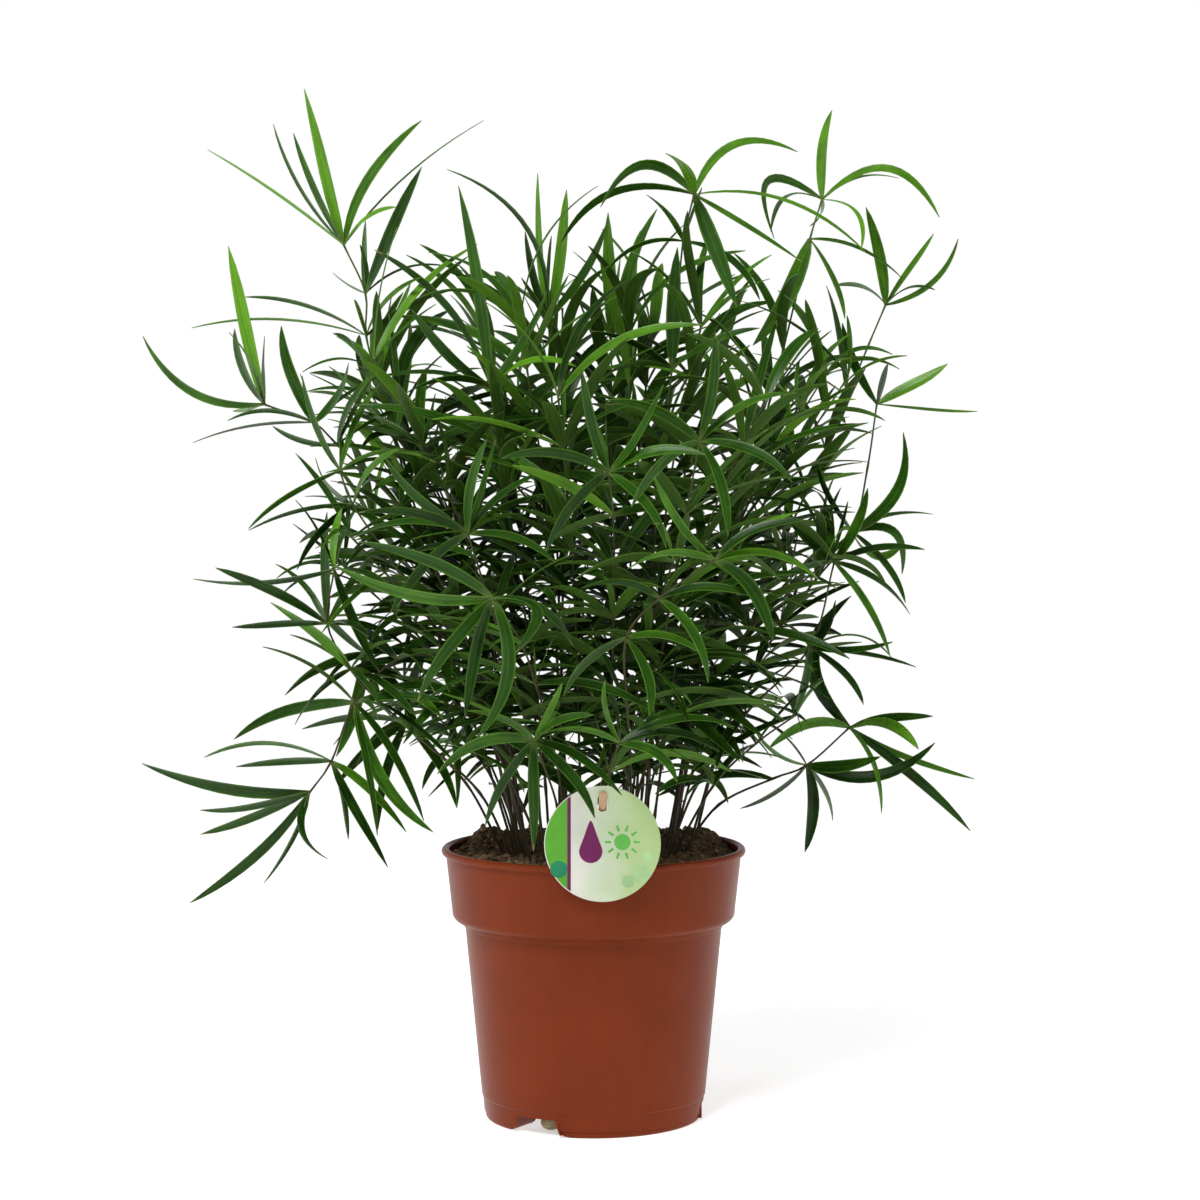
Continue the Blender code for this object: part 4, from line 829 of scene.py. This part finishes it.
def make_soil(sizes, pot_wall):
    """The potting soil, with the crumbs and peat fibres that lie on it."""
    inset = pot_wall + SOIL_GAP
    wall = [(radius - SOIL_GAP, height) for radius, height in pot_inner_wall(pot_wall)]
    wall[:4] = [
        (0, RAISED_FLOOR + inset),
        (FOOT_INNER_RADIUS - RAISED_SLOPE, RAISED_FLOOR + inset),
        (FOOT_INNER_RADIUS + inset, SOIL_FOOT),
        (FOOT_RADIUS - inset, SOIL_FOOT),
    ]
    level = SOIL_LEVEL + LOOSE_LAYER
    edge_height = level - SOIL_EDGE_DROP
    low, high = wall[-2:]
    edge_radius = low[0] + (edge_height - low[1]) / (high[1] - low[1]) * (high[0] - low[0])
    rings = int(edge_radius / sizes.ring_gap)
    surface = [(edge_radius * (rings - i) / (rings + 1), level) for i in range(rings)]
    bm = turned(wall[:-1] + [(edge_radius, edge_height)] + surface + [(0, level)], SOIL_SIDES)
    for vert in bm.verts:
        if vert.co.z > edge_height + SOIL_EDGE_DROP / 2:
            vert.co.z = soil_top(vert.co.x, vert.co.y)
    bmesh.ops.translate(bm, verts=bm.verts, vec=POT_AXIS)
    colour = tuple(sizes.colour)
    add_piece("crumbly_soil", bm, [earth("potting_soil", colour, 210)], ["soil"], math.pi)
    rng = random.Random(4)
    add_crumbs(sizes, rng, edge_radius - CRUMB_EDGE, colour)
    add_fibres(sizes, rng, edge_radius - FIBRE_EDGE)


def scattered(rng, reach):
    """A random place on the soil, within a distance from the pot's axis."""
    out = reach * math.sqrt(rng.random())
    turn = rng.uniform(0, math.tau)
    return Vector((out * math.cos(turn), out * math.sin(turn), 0))


def add_crumbs(sizes, rng, reach, colour):
    """Loose crumbs: dented balls that lie on the soil."""
    bm = bmesh.new()
    for _ in range(sizes.crumbs):
        spot = scattered(rng, reach)
        size = CRUMB_RADIUS + CRUMB_EXTRA * rng.random() ** 2.5
        shuffle = Vector((spot.x, spot.y, spot.length)) * CRUMB_SHUFFLE
        part = bmesh.new()
        crumb = bmesh.ops.create_icosphere(part, subdivisions=1, radius=size)["verts"]
        for vert in crumb:
            vert.co *= 1 + CRUMB_DENTS * noise.noise(vert.co / size + shuffle)
        squash = [rng.uniform(*shape) for shape in CRUMB_SHAPES]
        bmesh.ops.scale(part, verts=crumb, vec=squash)
        centre = Vector((spot.x, spot.y, soil_top(spot.x, spot.y) + CRUMB_LIFT * size)) + POT_AXIS
        put(part, crumb, Matrix.Rotation(rng.uniform(0, math.tau), 3, "Z"), centre)
        append_part(bm, part)
    material = earth("loose_crumbs", shaded(colour, 1.25), 330)
    add_piece("soil_crumbs", bm, [material], smooth_angle=math.radians(50))


def add_fibres(sizes, rng, reach):
    """Peat fibres and rootlets: thin tubes that wander over the soil."""
    bm = bmesh.new()
    for _ in range(sizes.fibres):
        spot = scattered(rng, reach)
        heading = rng.uniform(0, math.tau)
        step = rng.uniform(*FIBRE_STEP)
        points = []
        while len(points) < FIBRE_POINTS and spot.length <= reach:
            lift = rng.uniform(*FIBRE_LIFT)
            points.append(Vector((spot.x, spot.y, soil_top(spot.x, spot.y) + lift)) + POT_AXIS)
            heading += rng.uniform(-FIBRE_TURN, FIBRE_TURN)
            spot += Vector((math.cos(heading), math.sin(heading), 0)) * step
        if len(points) > 2:
            radius = rng.uniform(*FIBRE_RADIUS)
            part = bmesh.new()
            radii = [radius * (1 - FIBRE_TAPER * i / len(points)) for i in range(len(points))]
            add_tube(part, points, radii, 4)
            append_part(bm, part)
    add_piece("peat_fibres", bm, [fibre(tuple(sizes.fibre_colour))])


def make_label(sizes):
    """The round care label: a card with a slot, and the shapes that are printed on it."""
    radius = (LABEL_HIGH.x - LABEL_LOW.x) / 2
    thickness = LABEL_HIGH.y - LABEL_LOW.y
    bm = bmesh.new()
    put(bm, add_cylinder(bm, radius, thickness, 128), UPRIGHT)
    rims = [edge for edge in bm.edges if abs(edge.verts[0].co.y - edge.verts[1].co.y) < thickness / 2]
    bmesh.ops.bevel(
        bm, geom=rims, affect="EDGES", offset=thickness * CARD_EDGE, offset_type="OFFSET", segments=2,
        profile=0.5, material=-1,
    )
    cutter = bmesh.new()
    half_width = sizes.slot_width / 2
    slot = add_cylinder(cutter, half_width, SLOT_DEPTH, 32)
    for vert in slot:
        vert.co.y += math.copysign(sizes.slot_length / 2 - half_width, vert.co.y)
    put(cutter, slot, UPRIGHT, (0, 0, SLOT_RISE))
    card = cut_and_join(bm, [(cutter, "DIFFERENCE")])
    bmesh.ops.translate(card, verts=card.verts, vec=LABEL_MIDDLE)
    add_piece("care_label", card, [card_stock(sizes)], ["label"], math.radians(25))
    add_print(sizes, radius - PRINT_BORDER)


def make_stake(sizes):
    """The wooden stake that carries the label, oval and rounded at its free end."""
    along = (STAKE_SLOT - STAKE_FOOT).normalized()
    start = STAKE_FOOT - along * STAKE_BURIED
    end = STAKE_SLOT + along * STAKE_PROUD
    radius = sizes.stake_radius
    rounding = len(STAKE_END) * STAKE_END_STEP * radius
    waver, turn = STAKE_WAVER
    path, radii = [], []
    for i in range(STAKE_STEPS + 1):
        path.append(start.lerp(end, i / STAKE_STEPS) + POT_AXIS - along * rounding)
        radii.append(radius * (1 - waver * math.sin(turn * i)))
    middle = path[STAKE_STEPS // 2]
    for share in STAKE_END:
        path.append(path[-1] + along * radius * STAKE_END_STEP)
        radii.append(radius * share)
    bm = bmesh.new()
    add_tube(bm, path, radii, 20)
    bmesh.ops.scale(bm, verts=bm.verts, vec=(STAKE_BREADTH, 1, 1), space=Matrix.Translation(-middle))
    add_piece("wooden_stake", bm, [pale_wood(tuple(sizes.wood))], ["label_stake"])


def flat_disc(radius, x, z, segments=40):
    """A filled circle in the XZ plane, facing the viewer, about the label's middle."""
    bm = bmesh.new()
    verts = bmesh.ops.create_circle(bm, cap_ends=True, segments=segments, radius=radius)["verts"]
    put(bm, verts, UPRIGHT, (x, 0, z))
    return bm


def cut_off(bm, x, outward):
    """Cuts away what lies on one side of an upright line."""
    geometry = bm.verts[:] + bm.edges[:] + bm.faces[:]
    bmesh.ops.bisect_plane(bm, geom=geometry, plane_co=(x, 0, 0), plane_no=(outward, 0, 0), clear_outer=True)


def add_print(sizes, radius):
    """The inks: a panel, a stripe and pale bubbles, and plain signs for water and light."""
    inks = {
        "panel_ink": tuple(sizes.panel), "stripe_ink": tuple(sizes.stripe), "deep_ink": DEEP_INK,
        "pale_ink": PALE_INK, "sun_ink": SUN_INK,
    }
    panel = flat_disc(radius, 0, 0, 128)
    cut_off(panel, STRIPE[0], 1)
    stripe = flat_disc(radius, 0, 0, 128)
    cut_off(stripe, STRIPE[1], 1)
    cut_off(stripe, STRIPE[0], -1)
    shapes = [(panel, "panel_ink"), (stripe, "stripe_ink")]
    for x, z, size, name in BUBBLES:
        bubble = flat_disc(size, x, z)
        if name == "deep_ink":
            cut_off(bubble, STRIPE[0], 1)
        shapes.append((bubble, name))
    shapes.append((drop_shape(), "stripe_ink"))
    shapes.append((flat_disc(SUN[2], SUN[0], SUN[1]), "sun_ink"))
    for ray in range(SUN_RAYS):
        shapes.append((sun_ray(ray * math.tau / SUN_RAYS), "sun_ink"))
    whole = bmesh.new()
    for layer, (shape, name) in enumerate(shapes):
        height = sizes.print_height * (1 + LAYER_STEP * layer)
        add_ink_layer(whole, shape, list(inks).index(name), height)
    materials = [ink(name, colour) for name, colour in inks.items()]
    add_piece("label_print", whole, materials, smooth_angle=math.radians(20))


def drop_shape():
    """A water drop: a round whose upper half is drawn up to a point."""
    bm = flat_disc(DROP[2], 0, 0, 48)
    for vert in bm.verts:
        if vert.co.z > 0:
            share = vert.co.z / DROP[2]
            vert.co.x *= 1 - DROP_WAIST * share * share
            vert.co.z = DROP_POINT * (DROP_WAIST * share + (1 - DROP_WAIST) * share**3)
    bmesh.ops.translate(bm, verts=bm.verts, vec=(DROP[0], 0, DROP[1]))
    return bm


def sun_ray(turn):
    """A ray that narrows outwards, at an angle round the sun's centre."""
    bm = flat_disc(1.0, 0, 0, 4)
    near, far, half, taper = RAY
    corners = ((near, half), (far, half * taper), (far, -half * taper), (near, -half))
    for vert, (out, side) in zip(bm.faces[:][0].verts, corners):
        vert.co = Vector((out, 0, side))
    put(bm, bm.verts, Matrix.Rotation(turn, 3, "Y"), (SUN[0], 0, SUN[1]))
    return bm


def add_ink_layer(whole, shape, number, height):
    """Gives a flat shape the ink's height above the card, and lays it on the card's front."""
    extrude(shape, shape.faces[:], (0, -height, 0))
    bmesh.ops.recalc_face_normals(shape, faces=shape.faces)
    for face in shape.faces:
        face.material_index = number
    bmesh.ops.translate(shape, verts=shape.verts, vec=(LABEL_MIDDLE.x, LABEL_LOW.y, LABEL_MIDDLE.z))
    append_part(whole, shape)


def make_drain_root():
    """The swollen root that has grown out of the drain hole, smoothed from its CAD solid."""
    width, height, gather = WRINKLES
    bm = bmesh.new()
    bm.from_mesh(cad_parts["drain_root"].data)
    bmesh.ops.remove_doubles(bm, verts=bm.verts, dist=WELD)
    bmesh.ops.subdivide_edges(bm, edges=bm.edges, cuts=3, use_grid_fill=True, smooth=0.6)
    bm.normal_update()
    for vert in bm.verts:
        place = Vector((vert.co.x, vert.co.y, vert.co.z * gather)) / width
        vert.co += vert.normal * height * noise.fractal(place, 0.8, 2.0, 3)
    bmesh.ops.recalc_face_normals(bm, faces=bm.faces)
    add_piece("swollen_root", bm, [root_skin()], ["drain_root"])


def neighbours(verts):
    """The vertices joined by an edge to any of these, and not among them."""
    return {edge.other_vert(vert) for vert in verts for edge in vert.link_edges} - set(verts)


def middle_of(verts):
    return sum((vert.co for vert in verts), Vector()) / len(verts)


class CadLeaf:
    """A leaf of a CAD shoot: its tip, and the left edge, right edge and keel at each of its stations."""

    def __init__(self, tip):
        last = neighbours([tip])
        before = neighbours(last) - {tip}
        beyond = neighbours(before) - last
        self.tip = tip
        self.long = len(beyond) == 3
        self.stations = [before, last] if self.long else [last]
        self.socket = beyond if self.long else before

    def verts(self):
        return {self.tip}.union(*self.stations)

    def blade(self, base):
        """The leaf as a curve from the stem's middle to the tip, with its width and upper side."""
        reach = self.tip.co - base
        shares = LONG_STATIONS if self.long else SHORT_STATIONS
        bends, widths, ups = [], [], []
        for (share, wide), ring in zip(shares, self.stations):
            pairs = [(a, b) for a in ring for b in ring if a.index < b.index]
            left, right = max(pairs, key=lambda pair: (pair[0].co - pair[1].co).length)
            keel = (ring - {left, right}).pop()
            middle = (left.co + right.co) / 2
            bends.append((middle - base - reach * share) / (4 * share * (1 - share)))
            widths.append((left.co - right.co).length / wide)
            ups.append((middle - keel.co).normalized())
        bend = sum(bends, Vector()) / len(bends)
        return Blade(base, reach, bend, ups, BROADER * sum(widths) / len(widths))


class Blade:
    """A strap leaf's middle line, and the way its upper side faces along it."""

    def __init__(self, base, reach, bend, ups, width):
        self.base = base
        self.reach = reach
        self.bend = bend
        self.ups = ups
        self.width = width
        self.twist = 0.0
        self.sway = 0.0

    def centre(self, share):
        return self.base + self.reach * share + self.bend * (4 * share * (1 - share))

    def axes(self, share):
        """Unit vectors across the leaf and out of its upper side."""
        along = (self.reach + self.bend * (4 - 8 * share)).normalized()
        up = self.ups[0].lerp(self.ups[-1], share)
        side = Quaternion(along, self.twist * (share - UNTWISTED)) @ along.cross(up).normalized()
        return side, side.cross(along)

    def half_width(self, share):
        outline = (share + OUTLINE_START) ** OUTLINE_RISE * (1 - share) ** OUTLINE_FALL / OUTLINE_MOST
        return max(self.width / 2 * outline, LEAST_HALF_WIDTH)

    def turning(self):
        """How far the leaf turns from its base to its tip, in radians."""
        return (self.reach + self.bend * 4).angle(self.reach - self.bend * 4)


def add_blade(bm, tone_layer, blade, tone, sizes):
    """One leaf: a grid laid along the blade, folded along its midrib and given its thickness."""
    least, most = LEAF_STEPS
    steps = max(least, min(most, round(least - 1 + blade.turning() / TURN_PER_STEP)))
    grid = bmesh.ops.create_grid(bm, x_segments=2, y_segments=steps, size=1.0, calc_uvs=True)["verts"]
    for vert in grid:
        across, share = vert.co.x, (vert.co.y + 1) / 2
        share = min(1.0, share * (1 + STEP_GATHER * (1 - share)))
        side, up = blade.axes(share)
        half = blade.half_width(share)
        fold = sizes.channel * half * (abs(across) ** FOLD[0] - FOLD[1])
        weave = blade.sway * math.sin(share * math.tau)
        vert.co = blade.centre(share) + side * (across * half + weave) + up * fold
        vert[tone_layer] = tone
    faces = list({face for vert in grid for face in vert.link_faces})
    for face in faces:
        face.normal_update()
        face.material_index = 0
    shell = bmesh.ops.solidify(bm, geom=faces, thickness=sizes.thickness)["geom"]
    for item in shell:
        if isinstance(item, bmesh.types.BMFace) and item not in faces:
            item.material_index = 1


class CadShoot:
    """A CAD shoot read back: the joints of its stem from the soil upwards, and the leaves at each."""

    def __init__(self, node):
        bm = bmesh.new()
        bm.from_mesh(node.data)
        bmesh.ops.remove_doubles(bm, verts=bm.verts, dist=WELD)
        bm.verts.index_update()
        leaves = []
        for vert in bm.verts:
            edges = vert.link_edges
            if len(edges) == 3 and min(edge.calc_length() for edge in edges) > LEAST_TIP_EDGE:
                leaves.append(CadLeaf(vert))
        of_leaves = set().union(*(leaf.verts() for leaf in leaves))
        groups = self.grouped([vert for vert in bm.verts if vert not in of_leaves])
        self.joints = [middle_of(group) for group in self.walked(groups)]
        self.blades = []
        for leaf in leaves:
            socket = middle_of(leaf.socket)
            joint = min(range(len(self.joints)), key=lambda i: (self.joints[i] - socket).length)
            self.blades.append((joint, leaf.blade(self.joints[joint])))
        bm.free()

    @staticmethod
    def grouped(verts):
        """The stem's vertices in groups, one for each joint or bare ring."""
        groups = []
        for vert in verts:
            near = [
                group for group in groups if any((vert.co - other.co).length < JOINT_REACH for other in group)
            ]
            for group in near:
                groups.remove(group)
            groups.append([vert] + [other for group in near for other in group])
        return groups

    @staticmethod
    def walked(groups):
        """The groups in order up the stem, from the lowest."""
        waiting = list(groups)
        here = min(waiting, key=lambda group: min(vert.co.z for vert in group))
        order = []
        while here:
            order.append(here)
            waiting.remove(here)
            joined = neighbours(here)
            here = next((group for group in waiting if joined & set(group)), None)
        if waiting:
            raise ValueError("a CAD shoot's stem could not be followed to its tip")
        return order


def outsideness(point):
    """How far out in the crown a point lies, from 0 in its middle to 1 at its edge."""
    parts = [(point[axis] - CROWN_MIDDLE[axis]) / CROWN_HALF[axis] for axis in range(3)]
    return min(1.0, Vector(parts).length)


def leaf_tone(blade, rng):
    """Age and painted light, dryness and chance of a leaf, as a colour for its skin to read."""
    place = blade.centre(TONE_PLACE)
    # partly age, partly painted light: lighter high up and at the crown's outside, darker as in shade low and
    # inside
    age_and_light = TONE_START + AGE_AND_PAINTED_LIGHT_HIGH * between(place.z, *AGE_AND_PAINTED_LIGHT_HEIGHTS) + AGE_AND_PAINTED_LIGHT_OUTSIDE * outsideness(place) ** 2
    age_and_light += rng.gauss(0, AGE_CHANCE)
    if rng.random() < YOUNG_SHARE:
        age_and_light += YOUNGER
    dry = DRYNESS[1] if rng.random() < DRY_SHARE else DRYNESS[0]
    return (max(0.0, min(1.0, age_and_light)), dry, rng.random(), 1.0)


def hides_label(tip):
    """Whether a leaf with this tip would stand in front of the label."""
    depth, height, margin = LABEL_VIEW
    return tip.y < depth and tip.z < height and LABEL_LOW.x - margin < tip.x < LABEL_HIGH.x + margin


def infill_blade(joint, along, rng):
    """A slender leaf inside the crown, or None where it would leave it or hide the label."""
    high = between(joint.z, *INFILL_HEIGHTS)
    turn = rng.uniform(0, math.tau)
    lift = math.radians(rng.uniform(*INFILL_LIFT) + INFILL_LIFT_HIGH * high)
    way = Vector((math.cos(turn) * math.cos(lift), math.sin(turn) * math.cos(lift), math.sin(lift)))
    shortest, longest = INFILL_LENGTH
    length = rng.uniform(shortest, longest + INFILL_LENGTH_HIGH * high)
    reach = (way + along * INFILL_FORWARD).normalized() * length
    tip = joint + reach
    if outsideness(tip) > INFILL_OUTSIDE or tip.z < INFILL_LOWEST or rng.random() < INFILL_THINNING * high:
        return None
    if hides_label(tip):
        return None
    chord = reach.normalized()
    droop = Vector((0, 0, 1)) - chord * chord.z
    up = droop
    if up.length < NEARLY_UPRIGHT:
        up = Vector((1, 0, 0)) - chord * chord.x
    up = Quaternion(chord, rng.choice((-1, 1)) * rng.uniform(*INFILL_ROLL)) @ up.normalized()
    sideways = chord.cross(up) * rng.uniform(-INFILL_SIDEWAYS, INFILL_SIDEWAYS)
    bend = (droop + sideways) * reach.length * rng.uniform(*INFILL_BEND)
    return Blade(joint, reach, bend, [up], rng.uniform(*INFILL_WIDTH))


def add_stem(bm, joints):
    """The stem through its joints, a little thicker at each."""
    path = smooth_path(joints, STEM_STEP)
    lengths = [0.0]
    for near, far in zip(path, path[1:]):
        lengths.append(lengths[-1] + (far - near).length)
    radii = []
    for point, reached in zip(path, lengths):
        radius = STEM_RADII[0] + (STEM_RADII[1] - STEM_RADII[0]) * reached / lengths[-1]
        nearest = min((point - joint).length for joint in joints[1:]) / JOINT_SWELL_REACH
        radii.append(radius * (1 + JOINT_SWELL * math.exp(-nearest * nearest)))
    for face in add_tube(bm, path, radii, STEM_SIDES):
        face.material_index = 2


def make_shoot(name, sizes, materials, rng):
    """One shoot: its stem, the leaves that the CAD gives and slender leaves between them."""
    shoot = CadShoot(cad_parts[name])
    bm = bmesh.new()
    bm.loops.layers.uv.new("blade")
    tone_layer = bm.verts.layers.float_color.new("leaf_tone")
    add_stem(bm, shoot.joints)
    for _, blade in shoot.blades:
        blade.twist = rng.uniform(-TWIST, TWIST)
        blade.sway = rng.uniform(-SWAY, SWAY)
        add_blade(bm, tone_layer, blade, leaf_tone(blade, rng), sizes)
    for joint in sorted({joint for joint, _ in shoot.blades}):
        here = shoot.joints[joint]
        along = (here - shoot.joints[max(0, joint - 1)]).normalized()
        for _ in range(sizes.infill):
            blade = infill_blade(here, along, rng)
            if blade:
                blade.twist = rng.uniform(-INFILL_TWIST, INFILL_TWIST)
                add_blade(bm, tone_layer, blade, leaf_tone(blade, rng), sizes)
    add_piece(name + "_stem_and_leaves", bm, materials, [name], math.radians(60))


def make_shoots(sizes):
    """All shoots, each from its own CAD node."""
    materials = [
        leaf_skin("leaf_skin", sizes, False), leaf_skin("leaf_underside", sizes, True), stem_skin(sizes),
    ]
    rng = random.Random(7)
    for name in SHOOT_NODES:
        make_shoot(name, sizes, materials, rng)


def make_floor(settings):
    """The pale floor."""
    bm = bmesh.new()
    bmesh.ops.create_circle(bm, cap_ends=True, segments=96, radius=settings.floor_radius)
    mesh = bpy.data.meshes.new("floor")
    bm.to_mesh(mesh)
    bm.free()
    finish = Finish("pale_floor", 0.9, PALE, shine=0.0)
    place = finish.place()
    reach = finish.add("ShaderNodeVectorMath", {0: place}, operation="LENGTH").outputs["Value"]
    far = finish.spread(reach, *FLOOR_FADE)
    way = finish.add("ShaderNodeVectorMath", {0: place}, operation="NORMALIZE").outputs[0]
    least = settings.sky + (settings.horizon - settings.sky) * settings.behind_viewer
    ahead = finish.spread(finish.axis(way, "Y"), *FRONT_FADE, least, 1.0)
    finish.feed("Base Color", finish.ramp(far, (0.0, PALE), (1.0, BLACK)))
    finish.feed("Emission Strength", finish.times(finish.spread(far, 0.0, 1.0, FLOOR_GLOW, 1.0), ahead))
    mesh.materials.append(finish.material)
    floor = bpy.data.objects.new("floor", mesh)
    bpy.context.scene.collection.objects.link(floor)


def add_area_light(name, place, size, power):
    """A soft rectangular light that aims at the plant."""
    light = bpy.data.lights.new(name, "AREA")
    light.shape = "RECTANGLE"
    light.size, light.size_y = size
    light.energy = power
    lamp = bpy.data.objects.new(name, light)
    lamp.location = place
    lamp.rotation_euler = (Vector(LIGHT_AIM) - Vector(place)).to_track_quat("-Z", "Y").to_euler()
    bpy.context.scene.collection.objects.link(lamp)


def make_surroundings(settings):
    """A world that is white around the horizon, dimmer overhead and dimmer behind the viewer."""
    world = bpy.data.worlds.new("white_surroundings")
    world.use_nodes = True
    nodes = Nodes(world.node_tree)
    direction = nodes.add("ShaderNodeTexCoord").outputs["Generated"]
    low_down = nodes.spread(nodes.axis(direction, "Z"), *SKY_FADE, settings.horizon - settings.sky, 0.0)
    ahead = nodes.spread(nodes.axis(direction, "Y"), *FRONT_FADE, settings.behind_viewer, 1.0)
    background = world.node_tree.nodes["Background"]
    nodes.connect(background.inputs["Color"], (1, 1, 1))
    nodes.connect(background.inputs["Strength"], nodes.plus(nodes.times(low_down, ahead), settings.sky))
    bpy.context.scene.world = world


def make_stage(settings):
    """The floor, the soft lights, the white surroundings and the camera."""
    make_floor(settings)
    add_area_light("key_light", KEY_PLACE, KEY_SIZE, settings.key)
    for name, side in (("left_light", -1), ("right_light", 1)):
        add_area_light(name, (side * SIDE_PLACE[0], *SIDE_PLACE[1:]), SIDE_SIZE, settings.side)
    make_surroundings(settings)
    camera = bpy.data.objects.new("camera", bpy.data.cameras.new("camera"))
    camera.data.lens = settings.lens
    camera.data.sensor_width = SENSOR_WIDTH
    camera.location = settings.camera_place
    camera.rotation_euler = (math.pi / 2 - settings.camera_pitch, 0, 0)
    scene = bpy.context.scene
    scene.collection.objects.link(camera)
    scene.camera = camera
    scene.view_settings.view_transform = "Standard"


class FERN_OT_make_pot(bpy.types.Operator):
    """Build the nursery pot"""

    bl_idname = "fern.make_pot"
    bl_label = "Pot"

    def execute(self, context):
        make_pot(context.scene.fern_pot)
        return {"FINISHED"}


class FERN_OT_make_soil(bpy.types.Operator):
    """Build the soil with its crumbs and fibres"""

    bl_idname = "fern.make_soil"
    bl_label = "Soil"

    def execute(self, context):
        make_soil(context.scene.fern_soil, context.scene.fern_pot.wall)
        return {"FINISHED"}


class FERN_OT_make_label(bpy.types.Operator):
    """Build the care label and its stake"""

    bl_idname = "fern.make_label"
    bl_label = "Label and stake"

    def execute(self, context):
        make_label(context.scene.fern_label)
        make_stake(context.scene.fern_label)
        return {"FINISHED"}


class FERN_OT_make_drain_root(bpy.types.Operator):
    """Build the root that has grown out of the drain hole"""

    bl_idname = "fern.make_drain_root"
    bl_label = "Drain root"

    def execute(self, context):
        make_drain_root()
        return {"FINISHED"}


class FERN_OT_make_shoots(bpy.types.Operator):
    """Build the stems and leaves of every shoot"""

    bl_idname = "fern.make_shoots"
    bl_label = "Shoots"

    def execute(self, context):
        make_shoots(context.scene.fern_foliage)
        return {"FINISHED"}


class FERN_OT_make_stage(bpy.types.Operator):
    """Set up the floor, the lights and the camera"""

    bl_idname = "fern.make_stage"
    bl_label = "Stage"

    def execute(self, context):
        make_stage(context.scene.fern_stage)
        return {"FINISHED"}


OPERATORS = (
    FERN_OT_make_pot, FERN_OT_make_soil, FERN_OT_make_label, FERN_OT_make_drain_root, FERN_OT_make_shoots,
    FERN_OT_make_stage,
)
GROUPS = {
    "fern_pot": PotSizes, "fern_soil": SoilSizes, "fern_label": LabelSizes, "fern_foliage": FoliageSizes,
    "fern_stage": StageSettings,
}


class FERN_PT_panel(bpy.types.Panel):
    """The sizes and colours of the fern, and a button for each of its pieces"""

    bl_idname = "FERN_PT_panel"
    bl_label = "Potted Fern"
    bl_space_type = "VIEW_3D"
    bl_region_type = "UI"
    bl_category = "Potted Fern"

    def draw(self, context):
        for name, group in GROUPS.items():
            box = self.layout.box()
            for key in group.__annotations__:
                box.prop(getattr(context.scene, name), key)
        for operator in OPERATORS:
            self.layout.operator(operator.bl_idname)


def register():
    for group in GROUPS.values():
        bpy.utils.register_class(group)
    for name, group in GROUPS.items():
        setattr(bpy.types.Scene, name, PointerProperty(type=group))
    for operator in OPERATORS:
        bpy.utils.register_class(operator)
    bpy.utils.register_class(FERN_PT_panel)


def unregister():
    bpy.utils.unregister_class(FERN_PT_panel)
    for operator in reversed(OPERATORS):
        bpy.utils.unregister_class(operator)
    for name, group in GROUPS.items():
        delattr(bpy.types.Scene, name)
        bpy.utils.unregister_class(group)


def main():
    """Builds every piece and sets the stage."""
    register()
    bpy.ops.fern.make_pot()
    bpy.ops.fern.make_soil()
    bpy.ops.fern.make_label()
    bpy.ops.fern.make_drain_root()
    bpy.ops.fern.make_shoots()
    bpy.ops.fern.make_stage()


if __name__ == "__main__":
    main()
